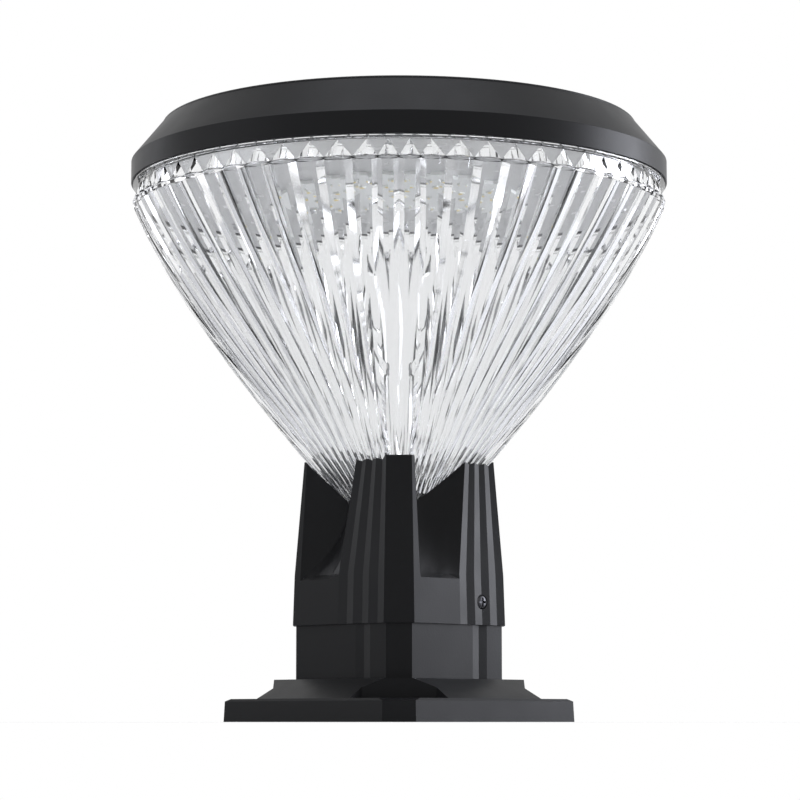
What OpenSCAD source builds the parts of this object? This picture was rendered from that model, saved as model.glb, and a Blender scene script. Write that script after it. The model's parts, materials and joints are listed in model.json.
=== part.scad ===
// Solar bollard light: a square foot, a four-armed body, a fluted clear bowl and a round solar cap.
// Heights run up +Z from the underside of the base plate. The base's sides lie along X and Y.
// "Half" is the distance of a flat side from the axis, "corner" that of a cut corner's face.

/* [Mounting base] */
// Thickness of the base plate
plate_h = 10.4; // [8:0.1:14]
// How much the plate's sides lean in over their height
plate_draft = 0.5; // [0.1:0.1:1]
// Height of the small bevel round the plate's top edge
plate_bevel = 1.1; // [0.5:0.1:1.5]
// How far the plinth stands inside the plate's flat top edge
plinth_step = 0.7; // [0.3:0.1:1.2]
// Height of the sloped plinth above the plate
plinth_h = 8.8; // [7:0.1:11]
// How far the plinth's slope runs in for each millimetre up
plinth_slope = 1.8; // [1.5:0.05:1.9]
// Width of a corner pocket at its back wall
pocket_w = 33; // [28:0.2:38]
// Angle at which a pocket's side walls spread
pocket_flare = 35; // [20:1:45]
// Distance between the anchor holes along a side
anchor_spacing = 98; // [95:0.5:101]
// Diameter of the anchor holes
anchor_d = 6.5; // [5:0.1:8]
// Distance of the anchor holes' middles from the plate's flat sides
anchor_side = 12.8; // [11:0.1:18]
// Plastic between an anchor hole and the plate's cut corner
anchor_edge = 7.45; // [6:0.05:11]
// Plastic between an anchor hole and the back wall of its pocket
anchor_back = 8.95; // [7:0.05:11]
// Wall of the hollow base
base_wall = 3; // [2:0.1:4]
// Thickness of the ribs under the plate
base_rib = 2.4; // [1.6:0.1:4]

/* [Neck] */
// How far the neck's flat sides stand inside the housing's
neck_step = 1.8; // [1:0.1:2.6]
// How far the neck's cut corners stand inside the housing's
neck_corner_step = 1.5; // [0.8:0.1:2.4]
// Height of the neck that shows
neck_h = 24.6; // [20:0.1:40]
// Distance from the middle of a side to the valley of the neck's groove
neck_groove_at = 14.5; // [12:0.1:18]
// Width of the neck's groove
neck_groove_w = 9.3; // [6:0.1:11]
// Depth of the neck's groove
neck_groove_depth = 0.7; // [0.4:0.1:1.2]
// Height of the spigot that stands inside the housing
spigot_h = 16.8; // [15:0.1:17]
// Wall of the neck and the spigot
spigot_wall = 3.4; // [2.6:0.1:5]

/* [Housing] */
// Height of the housing up to the tips of its arms
housing_h = 75.2; // [73:0.1:77]
// Width across the flat sides at the bottom
housing_w = 78.4; // [74:0.2:84]
// How far a side runs in up to where the straight part ends
waist_in = 0.7; // [0.3:0.1:0.9]
// How far a side runs in up to the tips of the arms
tip_in = 4.3; // [3.7:0.1:4.6]
// How much further out than the flat sides the cut corners lie
corner_out = 9.4; // [9.2:0.1:10.6]
// The same at the tips of the arms
tip_corner_out = 8.7; // [8.4:0.1:9.4]
// Height of the straight part
housing_straight_h = 22.6; // [21.4:0.1:25.5]
// Wall round the spigot
housing_wall = 3.6; // [3:0.1:4.5]
// Depth of the pocket that takes the spigot
housing_socket_h = 17.4; // [17:0.1:18.6]
// Number of V grooves on each side
groove_count = 3; // [2:1:5]
// Depth of the V grooves
groove_depth = 0.7; // [0.3:0.05:1]
// Share of a groove's width that its left wall takes
groove_skew = 0.53; // [0.3:0.01:0.7]
// Height of the seat under the lens above the bottom of the housing
seat_h = 45.2; // [44:0.1:47]
// Thickness of the web under the seat
web_t = 4; // [3:0.1:6]
// Radius of the hollow core under the web
core_r = 16; // [12:0.5:18]

/* [Notch between the arms] */
// Height at which a notch starts, above the bottom of the housing
notch_h = 20.4; // [19.4:0.1:21.4]
// Height at which its floor has reached its full depth, above the bottom of the housing
notch_deep_h = 56.4; // [52:0.1:62]
// Share of the way out along an arm at which the crease of the notch ends
notch_share = 0.53; // [0.5:0.01:0.58]
// Thickness of an arm beside its diagonal where the notch starts
arm_half = 9.4; // [8.5:0.1:10.5]
// Thickness of an arm beside its diagonal at its tip
arm_tip_half = 7; // [6.4:0.1:8]
// Distance of the ribs' edge from the middle of a side, at the tips
rib_edge_top = 7.8; // [4:0.1:10]
// How far the floor of a notch sags in, as a share of its width
notch_sag = 0.07; // [0:0.01:0.12]

/* [Lens] */
// Height of the lens from its foot to the shoulder under the cap
lens_h = 157.7; // [148:0.1:168]
// Radius of the fluted bowl where it is round
lens_r = 124.2; // [110:0.1:140]
// How far the lens's corner at its foot stands inside the arms' tips
foot_inset = 25.7; // [25:0.1:26.6]
// Lean of the corner line at the foot, in millimetres out for each millimetre up
lens_foot_lean = 0.864; // [0.83:0.002:0.88]
// Lean of the corner line at the top
lens_top_lean = 0.43; // [0.4:0.01:0.7]
// Share of the corner's distance at which the flat sides lie, at the foot
lens_squareness = 0.822; // [0.8:0.002:0.826]
// Height above the foot up to which the lens keeps its square form
lens_square_h = 20; // [10:1:29]
// Flutes on each flat side
side_flutes = 13; // [9:1:15]
// Half of the angle that the three narrow corner flutes take
corner_angle = 6.5; // [5:0.1:8]
// Depth of the flutes at the cap
flute_depth = 1.1; // [0.5:0.05:1.6]
// Depth of the flutes at the foot
flute_foot_depth = 0.4; // [0.2:0.05:0.6]
// Wall of the lens under its flutes
lens_wall = 3; // [2:0.1:4]
// Thickness of the floor of the foot
lens_floor = 6; // [4:0.1:8]
// Height of the belt under the shoulder
belt_h = 9.3; // [9.1:0.1:12]
// Height of the plain groove under the prisms
belt_groove_h = 1; // [0.6:0.1:1.1]
// Height of the prisms
prism_h = 6.8; // [5:0.1:6.9]
// How far the prisms stand out at their base
prism_depth = 1.3; // [0.6:0.1:1.6]
// Height of the plain lip above the prisms
lip_h = 1.2; // [0.8:0.1:1.4]
// Width of the tongue that stands in the cap's groove
tongue_w = 2.4; // [1.6:0.1:3]
// Height of the tongue
tongue_h = 4; // [3:0.1:4.6]
// Distance of the tongue's inner face inside the bowl's radius
tongue_inset = 5.2; // [4.8:0.1:6]

/* [Cap] */
// How far the cap stands out past the lens
cap_overhang = 0.8; // [0.6:0.1:3]
// Height of the cap
cap_h = 28.3; // [28:0.1:32]
// Height of its upright band
cap_band_h = 10; // [8:0.1:12]
// How far the slope above the band runs in
cap_run_in = 14; // [10:0.5:17]
// Radius of its top edge
cap_edge_r = 1.2; // [0.6:0.1:2]
// Wall of the cap
cap_wall = 2.5; // [2:0.1:3]
// Thickness of the flat deck
deck_t = 3; // [2.5:0.1:4]

/* [Solar panel] */
// Side of the square panel as a share of the width of the flat top
panel_share = 0.63; // [0.58:0.01:0.64]
// Depth of the recess that holds the panel
recess_depth = 3.6; // [3.4:0.1:4]
// Thickness of the board under the cells
backboard_t = 1.2; // [0.8:0.1:1.4]
// Thickness of the cells
cell_t = 0.25; // [0.2:0.05:0.4]
// Thickness of the cover glass
glass_t = 1.85; // [1.5:0.05:1.9]
// Rows of cells
cell_rows = 6; // [4:1:8]
// Columns of cells
cell_columns = 2; // [1:1:4]
// Gap between cells
cell_gap = 1.2; // [0.8:0.1:2]
// Bare edge round the cells
panel_edge = 3.5; // [2:0.1:6]
// Width of the sealing ring round the panel
panel_seal_w = 1.5; // [1:0.1:2]

/* [Switch] */
// Diameter of the button
button_d = 9; // [7:0.1:9.4]
// Travel of the button
button_travel = 1; // [0.6:0.1:1.1]
// Diameter of the switch's barrel
barrel_d = 12; // [11.8:0.1:13]
// Diameter of its flange
flange_d = 15; // [14.4:0.1:15.6]
// Height of its flange
flange_h = 1.2; // [0.8:0.1:1.4]
// Length of its barrel under the deck's well
barrel_l = 15; // [13:0.5:16]
// Depth of the well that the switch stands in
well_depth = 3; // [2.9:0.1:3.4]

/* [Lamp tray] */
// Thickness of the tray
tray_t = 2; // [1.6:0.1:2.4]
// Diameter of the lamp board
led_board_d = 90; // [80:1:110]
// Thickness of the lamp board
led_board_t = 1.6; // [1:0.1:2]
// Distance of the outer ring of emitters from the board's edge
led_inset = 10; // [7:0.5:12]
// Distance between the two rings of emitters
led_ring_gap = 16; // [12:0.5:20]
// Emitters on the inner ring
led_inner_count = 8; // [6:1:12]
// Emitters on the outer ring
led_outer_count = 16; // [12:1:20]
// Side of an emitter
led_w = 3.5; // [2.8:0.1:5]
// How far the tray's screws stand inside its edge
post_inset = 13.6; // [12:0.1:15]
// Diameter of the posts
post_d = 8; // [7:0.1:9]

/* [Batteries and control board] */
// Diameter of a battery cell
cell_d = 18.4; // [18:0.1:18.6]
// Length of a battery cell
cell_l = 65; // [60:1:70]
// Width of the control board
board_w = 40; // [36:1:44]
// Length of the control board
board_l = 64; // [60:1:80]
// Height of the board above the tray
board_stand = 4; // [3:0.1:5]
// Thickness of the control board
board_t = 1.6; // [1.2:0.1:2]
// Diameter of the inner leads
lead_d = 2.2; // [1.6:0.1:2.6]

/* [Screws] */
// Diameter of the side screws' shanks
side_screw_d = 3.5; // [3:0.1:4]
// Diameter of the side screws' heads
side_head_d = 6.2; // [5.6:0.1:6.6]
// Height of the side screws' heads
side_head_h = 1.6; // [1.2:0.1:2]
// Height of the side screws above the bottom of the housing
side_screw_h = 10.4; // [8:0.1:12]
// Diameter of the small inner screws' shanks
small_screw_d = 2.8; // [2.4:0.1:3]
// Diameter of the small inner screws' heads
small_head_d = 5.4; // [5:0.1:5.8]
// Height of the small inner screws' heads
small_head_h = 1.8; // [1.4:0.1:2]

/* [Fits] */
// Gap between the spigot and the housing
spigot_fit = 0.3; // [0.2:0.05:0.4]
// Gap between the lens and what it stands in
lens_fit = 0.4; // [0.3:0.05:0.5]
// Gap under the cap's rim
rim_fit = 0.4; // [0.3:0.05:0.8]
// Gap round the moving button
button_fit = 0.3; // [0.25:0.05:0.4]
// Gap round a screw in the hole that it passes
screw_fit = 0.2; // [0.15:0.05:0.4]
// Gap round a screw in the hole that it is driven into
thread_fit = 0.05; // [0.02:0.01:0.1]
// Gap between other pieces that lie in each other
inner_fit = 0.2; // [0.15:0.05:0.4]

/* [Hidden] */
$fn = 96;
// Cuts run past a face by this much
over = 1;
// Sides of a lead's tube, and rings along it
lead_sides = 8;
lead_rings = 14;

// Widths that follow the anchor holes
base_w = anchor_spacing + 2 * anchor_side;
base_corner = anchor_spacing * sqrt(0.5) + anchor_d / 2 + anchor_edge;
pocket_back = anchor_spacing * sqrt(0.5) - anchor_d / 2 - anchor_back;

// Widths that follow the housing
neck_w = housing_w - 2 * neck_step;
housing_corner = housing_w / 2 + corner_out;
neck_corner = housing_corner - neck_corner_step;
housing_waist_w = housing_w - 2 * waist_in;
housing_waist_corner = housing_corner - waist_in;
housing_top_w = housing_w - 2 * tip_in;
housing_top_corner = housing_top_w / 2 + tip_corner_out;
notch_reach = housing_top_corner * notch_share;
lens_foot_corner = housing_top_corner - foot_inset;

// Heights up the object
neck_z = plate_h + plinth_h;
housing_z = neck_z + neck_h;
spigot_z = housing_z + spigot_h;
arm_z = housing_z + housing_h;
web_z = housing_z + seat_h;
pad_t = 1.5;
foot_z = web_z + pad_t;
shoulder_z = foot_z + lens_h;
belt_z = shoulder_z - belt_h;
rim_z = shoulder_z + rim_fit;
cap_z = rim_z + cap_h;
deck_z = cap_z - deck_t;
tray_z = shoulder_z + tray_t;

// Outlines of a square with cut corners, anticlockwise seen from above
function octagon(half, corner) =
  let (t = corner * sqrt(2) - half)
  [[half, -t], [half, t], [t, half], [-t, half], [-half, t], [-half, -t], [-t, -half], [t, -half]];

function raised(outline, z) = [for (p = outline) [p[0], p[1], z]];

function turned(p, angle) =
  [p[0] * cos(angle) - p[1] * sin(angle), p[0] * sin(angle) + p[1] * cos(angle)];

function mix(a, b, share) = a + (b - a) * share;

function total(list, i = 0) = i < len(list) ? list[i] + total(list, i + 1) : [0, 0, 0];
function middle(ring) = total(ring) / len(ring);

// A solid skinned over rings of equal length, each end closed by a fan round the ring's middle.
// Each pair of triangles is split so that folds run from an even point up to an odd one.
module skin(rings) {
  n = len(rings[0]);
  last = (len(rings) - 1) * n;
  points = concat([for (ring = rings) each ring], [middle(rings[0]), middle(rings[len(rings) - 1])]);
  sides = [for (i = [0:len(rings) - 2], j = [0:n - 1])
    let (a = i * n + j, b = i * n + (j + 1) % n, c = b + n, d = a + n)
    each (j % 2 == 0 ? [[a, d, c], [a, c, b]] : [[a, d, b], [d, c, b]])];
  low_end = [for (j = [0:n - 1]) [j, (j + 1) % n, last + n]];
  high_end = [for (j = [0:n - 1]) [last + (j + 1) % n, last + j, last + n + 1]];
  polyhedron(points = points, faces = concat(low_end, sides, high_end), convexity = 10);
}

module four() {
  for (turn = [0:90:270]) rotate(turn) children();
}

// A screw that points down from z = 0, with a cross in its round head
module screw(shank_d, shank_l, head_d, head_h) {
  difference() {
    union() {
      translate([0, 0, -shank_l]) cylinder(d = shank_d, h = shank_l + head_h / 2);
      cylinder(d = head_d, h = head_h);
    }
    for (turn = [0, 90])
      rotate(turn) translate([-head_d * 0.3, -head_d * 0.07, head_h * 0.45])
        cube([head_d * 0.6, head_d * 0.14, head_h]);
  }
}

// Base: plate, plinth with its pockets, neck and spigot, hollow from below
plate_top_half = base_w / 2 - plate_draft;
plinth_half = plate_top_half - plinth_step;
plate_top_corner = base_corner - plate_draft - 2.6 * plate_bevel;
spigot_half = housing_w / 2 - housing_wall - spigot_fit;
spigot_corner = housing_corner - housing_wall - spigot_fit;
bore_half = spigot_half - spigot_wall;
bore_corner = spigot_corner - spigot_wall;

module plate_solid() {
  skin([
    raised(octagon(base_w / 2, base_corner), 0),
    raised(octagon(plate_top_half, base_corner - plate_draft), plate_h - plate_bevel),
    raised(octagon(plinth_half, plate_top_corner), plate_h)
  ]);
}

module plinth_form(inset, height) {
  low = plinth_half - inset;
  high = low - plinth_slope * height;
  skin([
    [for (p = [[1, -1], [1, 1], [-1, 1], [-1, -1]]) [p[0] * low, p[1] * low, plate_h - over / 2]],
    [for (p = [[1, -1], [1, 1], [-1, 1], [-1, -1]]) [p[0] * low, p[1] * low, plate_h]],
    [for (p = [[1, -1], [1, 1], [-1, 1], [-1, -1]]) [p[0] * high, p[1] * high, plate_h + height]]
  ]);
}

module pocket_cut() {
  reach = 40;
  spread = reach * tan(pocket_flare);
  rotate(45) translate([pocket_back, 0, plate_h])
    linear_extrude(plinth_h + over)
      polygon([[0, -pocket_w / 2], [reach, -pocket_w / 2 - spread],
        [reach, pocket_w / 2 + spread], [0, pocket_w / 2]]);
}

module neck_outline() {
  difference() {
    polygon(octagon(neck_w / 2, neck_corner));
    for (turn = [0:90:270])
      rotate(turn) translate([neck_w / 2, neck_groove_at])
        polygon([[over, -neck_groove_w / 2 * (1 + over / neck_groove_depth)], [-neck_groove_depth, 0],
          [over, neck_groove_w / 2 * (1 + over / neck_groove_depth)]]);
  }
}

module anchor_places() {
  for (x = [-1, 1], y = [-1, 1]) translate([x, y] * anchor_spacing / 2) children();
}

module base_hollow() {
  rim_half = base_w / 2 - plate_draft - base_wall;
  roof_z = plate_h - base_wall;
  difference() {
    union() {
      translate([0, 0, -over]) linear_extrude(roof_z + over)
        polygon(octagon(rim_half, base_corner - plate_draft - base_wall));
      intersection() {
        translate([0, 0, -base_wall]) plinth_form(base_wall, plinth_h);
        translate([0, 0, roof_z - over]) linear_extrude(plinth_h + over)
          polygon(octagon(rim_half, pocket_back - base_wall));
      }
    }
    translate([0, 0, -2 * over]) linear_extrude(neck_z)
      polygon(octagon(neck_w / 2, neck_corner));
    anchor_places() translate([0, 0, -2 * over]) cylinder(d = anchor_d + 2 * base_wall + 2, h = neck_z);
    for (turn = [0, 90], side = [-1, 1])
      rotate(turn) translate([-base_w, side * anchor_spacing / 4 - base_rib / 2, -2 * over])
        cube([2 * base_w, base_rib, neck_z]);
  }
}

module mounting_base() {
  color([0.12, 0.12, 0.13])
  difference() {
    union() {
      plate_solid();
      difference() {
        intersection() {
          plinth_form(0, plinth_h);
          linear_extrude(neck_z + over) polygon(octagon(plinth_half, plate_top_corner));
        }
        four() pocket_cut();
      }
      translate([0, 0, plate_h]) linear_extrude(housing_z - plate_h) neck_outline();
      translate([0, 0, neck_z]) linear_extrude(spigot_z - neck_z)
        polygon(octagon(spigot_half, spigot_corner));
    }
    base_hollow();
    translate([0, 0, -over]) linear_extrude(spigot_z + 2 * over)
      polygon(octagon(bore_half, bore_corner));
    anchor_places() translate([0, 0, -over]) cylinder(d = anchor_d, h = plate_h + 2 * over);
    side_screw_places() rotate([0, -90, 0])
      cylinder(d = side_screw_d + 2 * thread_fit, h = 3 * housing_wall + spigot_wall);
  }
}

// Housing: one skin over rings, each the outline at one height with its notches and grooves
notch_z = housing_z + notch_h;
deep_z = housing_z + notch_deep_h;
waist_z = housing_z + housing_straight_h;
// Smallest distance between neighbouring points where the notch starts
least_edge = 0.4;
curve_points = 3;

function housing_half(z) = z < waist_z
  ? mix(housing_w, housing_waist_w, (z - housing_z) / (waist_z - housing_z)) / 2
  : mix(housing_waist_w, housing_top_w, (z - waist_z) / (arm_z - waist_z)) / 2;
function housing_cut(z) = z < waist_z
  ? mix(housing_corner, housing_waist_corner, (z - housing_z) / (waist_z - housing_z))
  : mix(housing_waist_corner, housing_top_corner, (z - waist_z) / (arm_z - waist_z));
function arm_side(z) = mix(arm_half, arm_tip_half, max(0, z - notch_z) / (arm_z - notch_z));
function rib_edge(z) = rib_edge_top * max(0, z - waist_z) / (arm_z - waist_z);

// Where an arm's flank meets the face, and where the crease of the notch lies on that flank
function flank(z) = let (h = housing_half(z)) [h, arm_side(z) * sqrt(2) - h];
function crease(z) =
  let (h = housing_half(z),
    start = housing_half(notch_z) * sqrt(2) - arm_side(notch_z),
    left = 1 - min(1, (z - notch_z) / (deep_z - notch_z)),
    reach = notch_reach + (start - notch_reach) * left * left,
    deep = [(reach + arm_side(z)) / sqrt(2), (arm_side(z) - reach) / sqrt(2)])
  z <= notch_z ? flank(z) + [0, least_edge] : deep;

// One quarter of the outline on the +X side, from its left end to its right end seen from outside
function face_outline(z) =
  let (h = housing_half(z),
    end = housing_cut(z) * sqrt(2) - h,
    from = crease(z),
    to = [h, rib_edge(z)],
    across = to - from,
    sag = z <= notch_z ? 0 : notch_sag,
    pitch = (end - rib_edge(z)) / groove_count)
  concat(
    [[h, -end], flank(z), from],
    [for (i = [1:curve_points]) let (s = i / (curve_points + 1))
      from + across * s + [-across[1], across[0]] * 4 * sag * s * (1 - s)],
    [to],
    [for (i = [0:groove_count - 1]) each [
      [h - groove_depth, rib_edge(z) + pitch * (i + groove_skew)],
      [h, rib_edge(z) + pitch * (i + 1)]]]);

function housing_ring(z) =
  raised([for (turn = [0:90:270]) each [for (p = face_outline(z)) turned(p, turn)]], z);

module side_screw_places() {
  pitch = (housing_cut(waist_z) * sqrt(2) - housing_half(waist_z)) / groove_count;
  groove_at = pitch * (1 + groove_skew);
  for (turn = [0, 180])
    rotate(turn) translate([housing_w / 2 - groove_depth, groove_at, housing_z + side_screw_h])
      children();
}

module housing() {
  notch_steps = 9;
  heights = concat([housing_z, notch_z, waist_z],
    [for (i = [1:notch_steps]) mix(waist_z, arm_z, i / notch_steps)]);
  socket_half = housing_w / 2 - housing_wall;
  color([0.13, 0.13, 0.14])
  difference() {
    skin([for (z = heights) housing_ring(z)]);
    skin([for (z = [foot_z - pad_t, foot_z + lens_square_h, arm_z + over]) lens_shell_ring(z, lens_fit)]);
    translate([0, 0, housing_z - over]) linear_extrude(housing_socket_h + over)
      polygon(octagon(socket_half, housing_corner - housing_wall));
    translate([0, 0, housing_z + housing_socket_h - over])
      cylinder(r = core_r, h = seat_h - web_t - housing_socket_h + over);
    foot_screw_places() translate([0, 0, -web_t - over])
      cylinder(d = small_screw_d + 2 * screw_fit, h = web_t + 2 * over);
    side_screw_places() rotate([0, -90, 0]) {
      translate([0, 0, -over]) cylinder(d = side_screw_d + 2 * screw_fit, h = housing_wall + 2 * over);
      translate([0, 0, -2 * over]) cylinder(d = side_head_d + 2 * screw_fit, h = 2 * over + 1);
    }
  }
}

module housing_screws() {
  color([0.2, 0.2, 0.21])
  side_screw_places() translate([-1, 0, 0]) rotate([0, 90, 0])
    screw(side_screw_d, housing_wall + spigot_wall + 1, side_head_d, side_head_h);
}

// Lens: a loft from a square with cut corners at the foot to a circle at the cap
function lens_corner(z) =
  let (u = (z - foot_z) / (belt_z - foot_z),
    run = belt_z - foot_z,
    v = 1 - u)
  v * v * v * lens_foot_corner + 3 * v * v * u * (lens_foot_corner + lens_foot_lean * run / 3)
    + 3 * v * u * u * (lens_r - lens_top_lean * run / 3) + u * u * u * lens_r;
function roundness(z) =
  min(1, max(0, (z - foot_z - lens_square_h) / (belt_z - foot_z - lens_square_h)));

// Places round a quarter, from the middle of one corner to the middle of the next.
// Even places are valleys and odd places are ridges.
side_step = (90 - 2 * corner_angle) / side_flutes;
quarter = concat([0, corner_angle / 3, corner_angle * 2 / 3],
  [for (i = [0:2 * side_flutes]) corner_angle + side_step * i / 2],
  [90 - corner_angle * 2 / 3, 90 - corner_angle / 3]);

// A place on the cut-corner square whose corner lies at 1, and the way out from it
function square_place(angle) =
  let (half = lens_squareness,
    end = sqrt(2) - half,
    t = angle < corner_angle ? 0 : end * (1 - 2 * (angle - corner_angle) / (90 - 2 * corner_angle)),
    corner_half = (half * sqrt(2) - 1),
    sideways = angle < corner_angle ? angle : 90 - angle)
  sideways < corner_angle
    ? turned([1, (angle < 45 ? 1 : -1) * corner_half * sideways / corner_angle], angle < 45 ? 0 : 90)
    : turned([half, -t], 45);
function square_way(angle) =
  angle < corner_angle ? [1, 0] : angle > 90 - corner_angle ? [0, 1] : [cos(45), sin(45)];
function round_place(angle) = [cos(angle), sin(angle)];

// A ring of the lens whose corner lies at the given distance; valleys are sunk by the given depth
function lens_ring(z, corner, share, out, depth) =
  raised([for (turn = [0:90:270], i = [0:len(quarter) - 1])
    let (angle = quarter[i],
      way = mix(square_way(angle), round_place(angle), share),
      place = mix(square_place(angle), round_place(angle), share) * corner,
      shift = out - (i % 2 == 0 ? depth : 0))
    turned(place + way / norm(way) * shift, turn + 45)], z);

function lens_flute_ring(z) =
  let (depth = mix(flute_foot_depth, flute_depth, (z - foot_z) / (belt_z - foot_z)))
  lens_ring(z, lens_corner(z), roundness(z), 0, depth);

// The plain outline of the lens, moved out or in, with one point at each bend
function lens_shell_ring(z, out) =
  let (half = lens_corner(z) * mix(lens_squareness, 1, roundness(z)) + out)
  raised(octagon(half, lens_corner(z) + out), z);

// The wall is measured level, and the bowl leans, so it lies further in than its thickness
lean_share = 1.3;
function bowl_wall_ring(z) = lens_ring(z, lens_corner(z), roundness(z), -lens_wall * lean_share, 0);

module lens() {
  wall_r = lens_r - prism_depth;
  tongue_in = lens_r - tongue_inset;
  prism_z = belt_z + belt_groove_h;
  outer_heights = [0, 0.07, 0.14, 0.2, 0.32, 0.44, 0.56, 0.68, 0.79, 0.9, 1];
  inner_heights = [0.94, 0.79, 0.6, 0.4, 0.2, 0.08];
  color([0.85, 0.9, 0.95, 0.35])
  difference() {
    skin(concat(
      [for (u = outer_heights) lens_flute_ring(mix(foot_z, belt_z, u))],
      [for (step = [
          [belt_z + 0.2, wall_r - 0.3, 0],
          [prism_z, wall_r - 0.2, 0],
          [prism_z + 0.1, lens_r + 0.2, prism_depth + 0.1],
          [prism_z + prism_h, wall_r, 0],
          [shoulder_z - lip_h, wall_r + 0.2, 0],
          [shoulder_z - lip_h + 0.3, lens_r, 0],
          [shoulder_z, lens_r, 0],
          [shoulder_z, tongue_in + tongue_w, 0],
          [shoulder_z + tongue_h, tongue_in + tongue_w, 0],
          [shoulder_z + tongue_h, tongue_in, 0],
          [belt_z + 2, tongue_in, 0]])
        lens_ring(step[0], step[1], 1, 0, step[2])],
      [for (u = inner_heights) bowl_wall_ring(mix(foot_z, belt_z, u))],
      [lens_ring(foot_z + lens_floor, lens_corner(foot_z + lens_floor), 0, -lens_wall * lean_share, 0)]
    ));
    foot_screw_places() cylinder(d = small_screw_d + 2 * thread_fit, h = pad_t + lens_floor - 1);
  }
}

module lens_seal() {
  inner = lens_r - tongue_inset + inner_fit / 2;
  color([0.75, 0.75, 0.73])
  translate([0, 0, shoulder_z + tongue_h])
    difference() {
      cylinder(r = inner + tongue_w - inner_fit, h = groove_roof_z - shoulder_z - tongue_h);
      translate([0, 0, -over]) cylinder(r = inner, h = tongue_h + 2 * over);
    }
}

// Four screws from below hold the foot of the lens through the web and the rubber pad
foot_screw_at = 8;
module foot_screw_places() {
  for (turn = [0:90:270]) rotate(turn) translate([foot_screw_at, 0, web_z]) children();
}

module foot_pad() {
  color([0.08, 0.08, 0.08])
  difference() {
    translate([0, 0, web_z]) linear_extrude(pad_t)
      polygon(octagon(lens_foot_corner * lens_squareness - 1, lens_foot_corner - 1));
    foot_screw_places() translate([0, 0, -over])
      cylinder(d = small_screw_d + 2 * screw_fit, h = pad_t + 2 * over);
  }
}

module foot_screws() {
  color([0.6, 0.6, 0.6])
  foot_screw_places() translate([0, 0, -web_t]) mirror([0, 0, 1])
    screw(small_screw_d, web_t + pad_t + lens_floor - 2.5, small_head_d, small_head_h);
}

// Cap: a revolved shell with the groove for the lens's tongue, posts and the panel's recess
cap_r = lens_r + cap_overhang;
cap_top_r = cap_r - cap_run_in;
panel_w = 2 * cap_top_r * panel_share;
groove_in_r = lens_r - tongue_inset - inner_fit * 4;
groove_roof_z = shoulder_z + tongue_h + 1.8;
groove_wall = 2;
// The groove's inner wall ends this far above the lamp tray's underside
groove_lift = 0.8;
recess_half = panel_w / 2 + panel_seal_w;
recess_z = cap_z - recess_depth;
pan_t = 2;
pan_z = recess_z - pan_t;
switch_at = (recess_half + cap_top_r) / 2;

module cap_section() {
  lean = atan2(cap_r - cap_top_r, cap_h - cap_band_h);
  slope_in = cap_wall / cos(lean);
  band_z = rim_z + cap_band_h;
  deck_r = mix(cap_r, cap_top_r, (deck_z - band_z) / (cap_z - band_z)) - slope_in;
  polygon(concat(
    [[cap_r - cap_wall, rim_z], [cap_r, rim_z], [cap_r, band_z]],
    [for (a = [0:15:90])
      [cap_top_r - cap_edge_r + cap_edge_r * cos(a), cap_z - cap_edge_r + cap_edge_r * sin(a)]],
    [[0, cap_z], [0, deck_z], [deck_r, deck_z],
      [cap_r - slope_in - 0.2, band_z], [cap_r - cap_wall, band_z - 1]]));
  translate([groove_in_r - groove_wall, groove_roof_z])
    square([cap_r - cap_wall / 2 - groove_in_r + groove_wall, groove_wall]);
  translate([groove_in_r - groove_wall, shoulder_z + groove_lift])
    square([groove_wall, groove_roof_z - shoulder_z]);
}

module cap_shell() {
  color([0.1, 0.1, 0.11])
  difference() {
    union() {
      rotate_extrude($fn = 180) cap_section();
      translate([-recess_half - pan_t, -recess_half - pan_t, pan_z])
        cube([2 * (recess_half + pan_t), 2 * (recess_half + pan_t), deck_z + 0.5 - pan_z]);
      post_places() cylinder(d = post_d, h = deck_z + 0.5 - tray_z);
      translate([0, -switch_at, cap_z - well_depth - 3]) cylinder(d = well_d + 6, h = well_depth + 2);
    }
    translate([-recess_half, -recess_half, recess_z])
      cube([2 * recess_half, 2 * recess_half, recess_depth + over]);
    translate([panel_lead_x, 0, pan_z - over]) cylinder(d = lead_d + 2, h = pan_t + 2 * over);
    post_places() translate([0, 0, -over]) cylinder(d = small_screw_d + 2 * thread_fit, h = 12);
    translate([0, -switch_at, cap_z - well_depth]) cylinder(d = well_d, h = well_depth + over);
    translate([0, -switch_at, cap_z - well_depth - 4]) cylinder(d = barrel_d + 2 * inner_fit, h = 5);
  }
}

// Solar panel in the recess of the deck
module panel_slab(z, thickness) {
  translate([-panel_w / 2, -panel_w / 2, z]) cube([panel_w, panel_w, thickness]);
}

module panel_backboard() {
  color([0.9, 0.9, 0.88]) panel_slab(recess_z, backboard_t);
}

module solar_cells() {
  span = panel_w - 2 * panel_edge;
  cell_x = (span - cell_gap * (cell_columns - 1)) / cell_columns;
  cell_y = (span - cell_gap * (cell_rows - 1)) / cell_rows;
  color([0.05, 0.07, 0.16])
  for (i = [0:cell_columns - 1], j = [0:cell_rows - 1])
    translate([i * (cell_x + cell_gap) - span / 2, j * (cell_y + cell_gap) - span / 2])
      translate([0, 0, recess_z + backboard_t]) cube([cell_x, cell_y, cell_t]);
}

module solar_glass() {
  color([0.6, 0.7, 0.8, 0.3]) panel_slab(recess_z + backboard_t + cell_t, glass_t);
}

module panel_seal() {
  color([0.05, 0.05, 0.05])
  difference() {
    translate([-recess_half, -recess_half, recess_z])
      cube([2 * recess_half, 2 * recess_half, recess_depth - 0.2]);
    panel_slab(recess_z - over, recess_depth + 2 * over);
  }
}

// Tray under the cap, and the lamp board under the tray
tray_r = groove_in_r - groove_wall - 3 * inner_fit;
post_at = tray_r - post_inset;
tray_post_d = 6;
board_y = -32;
battery_y = 34;
panel_lead_x = 8;

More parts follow.
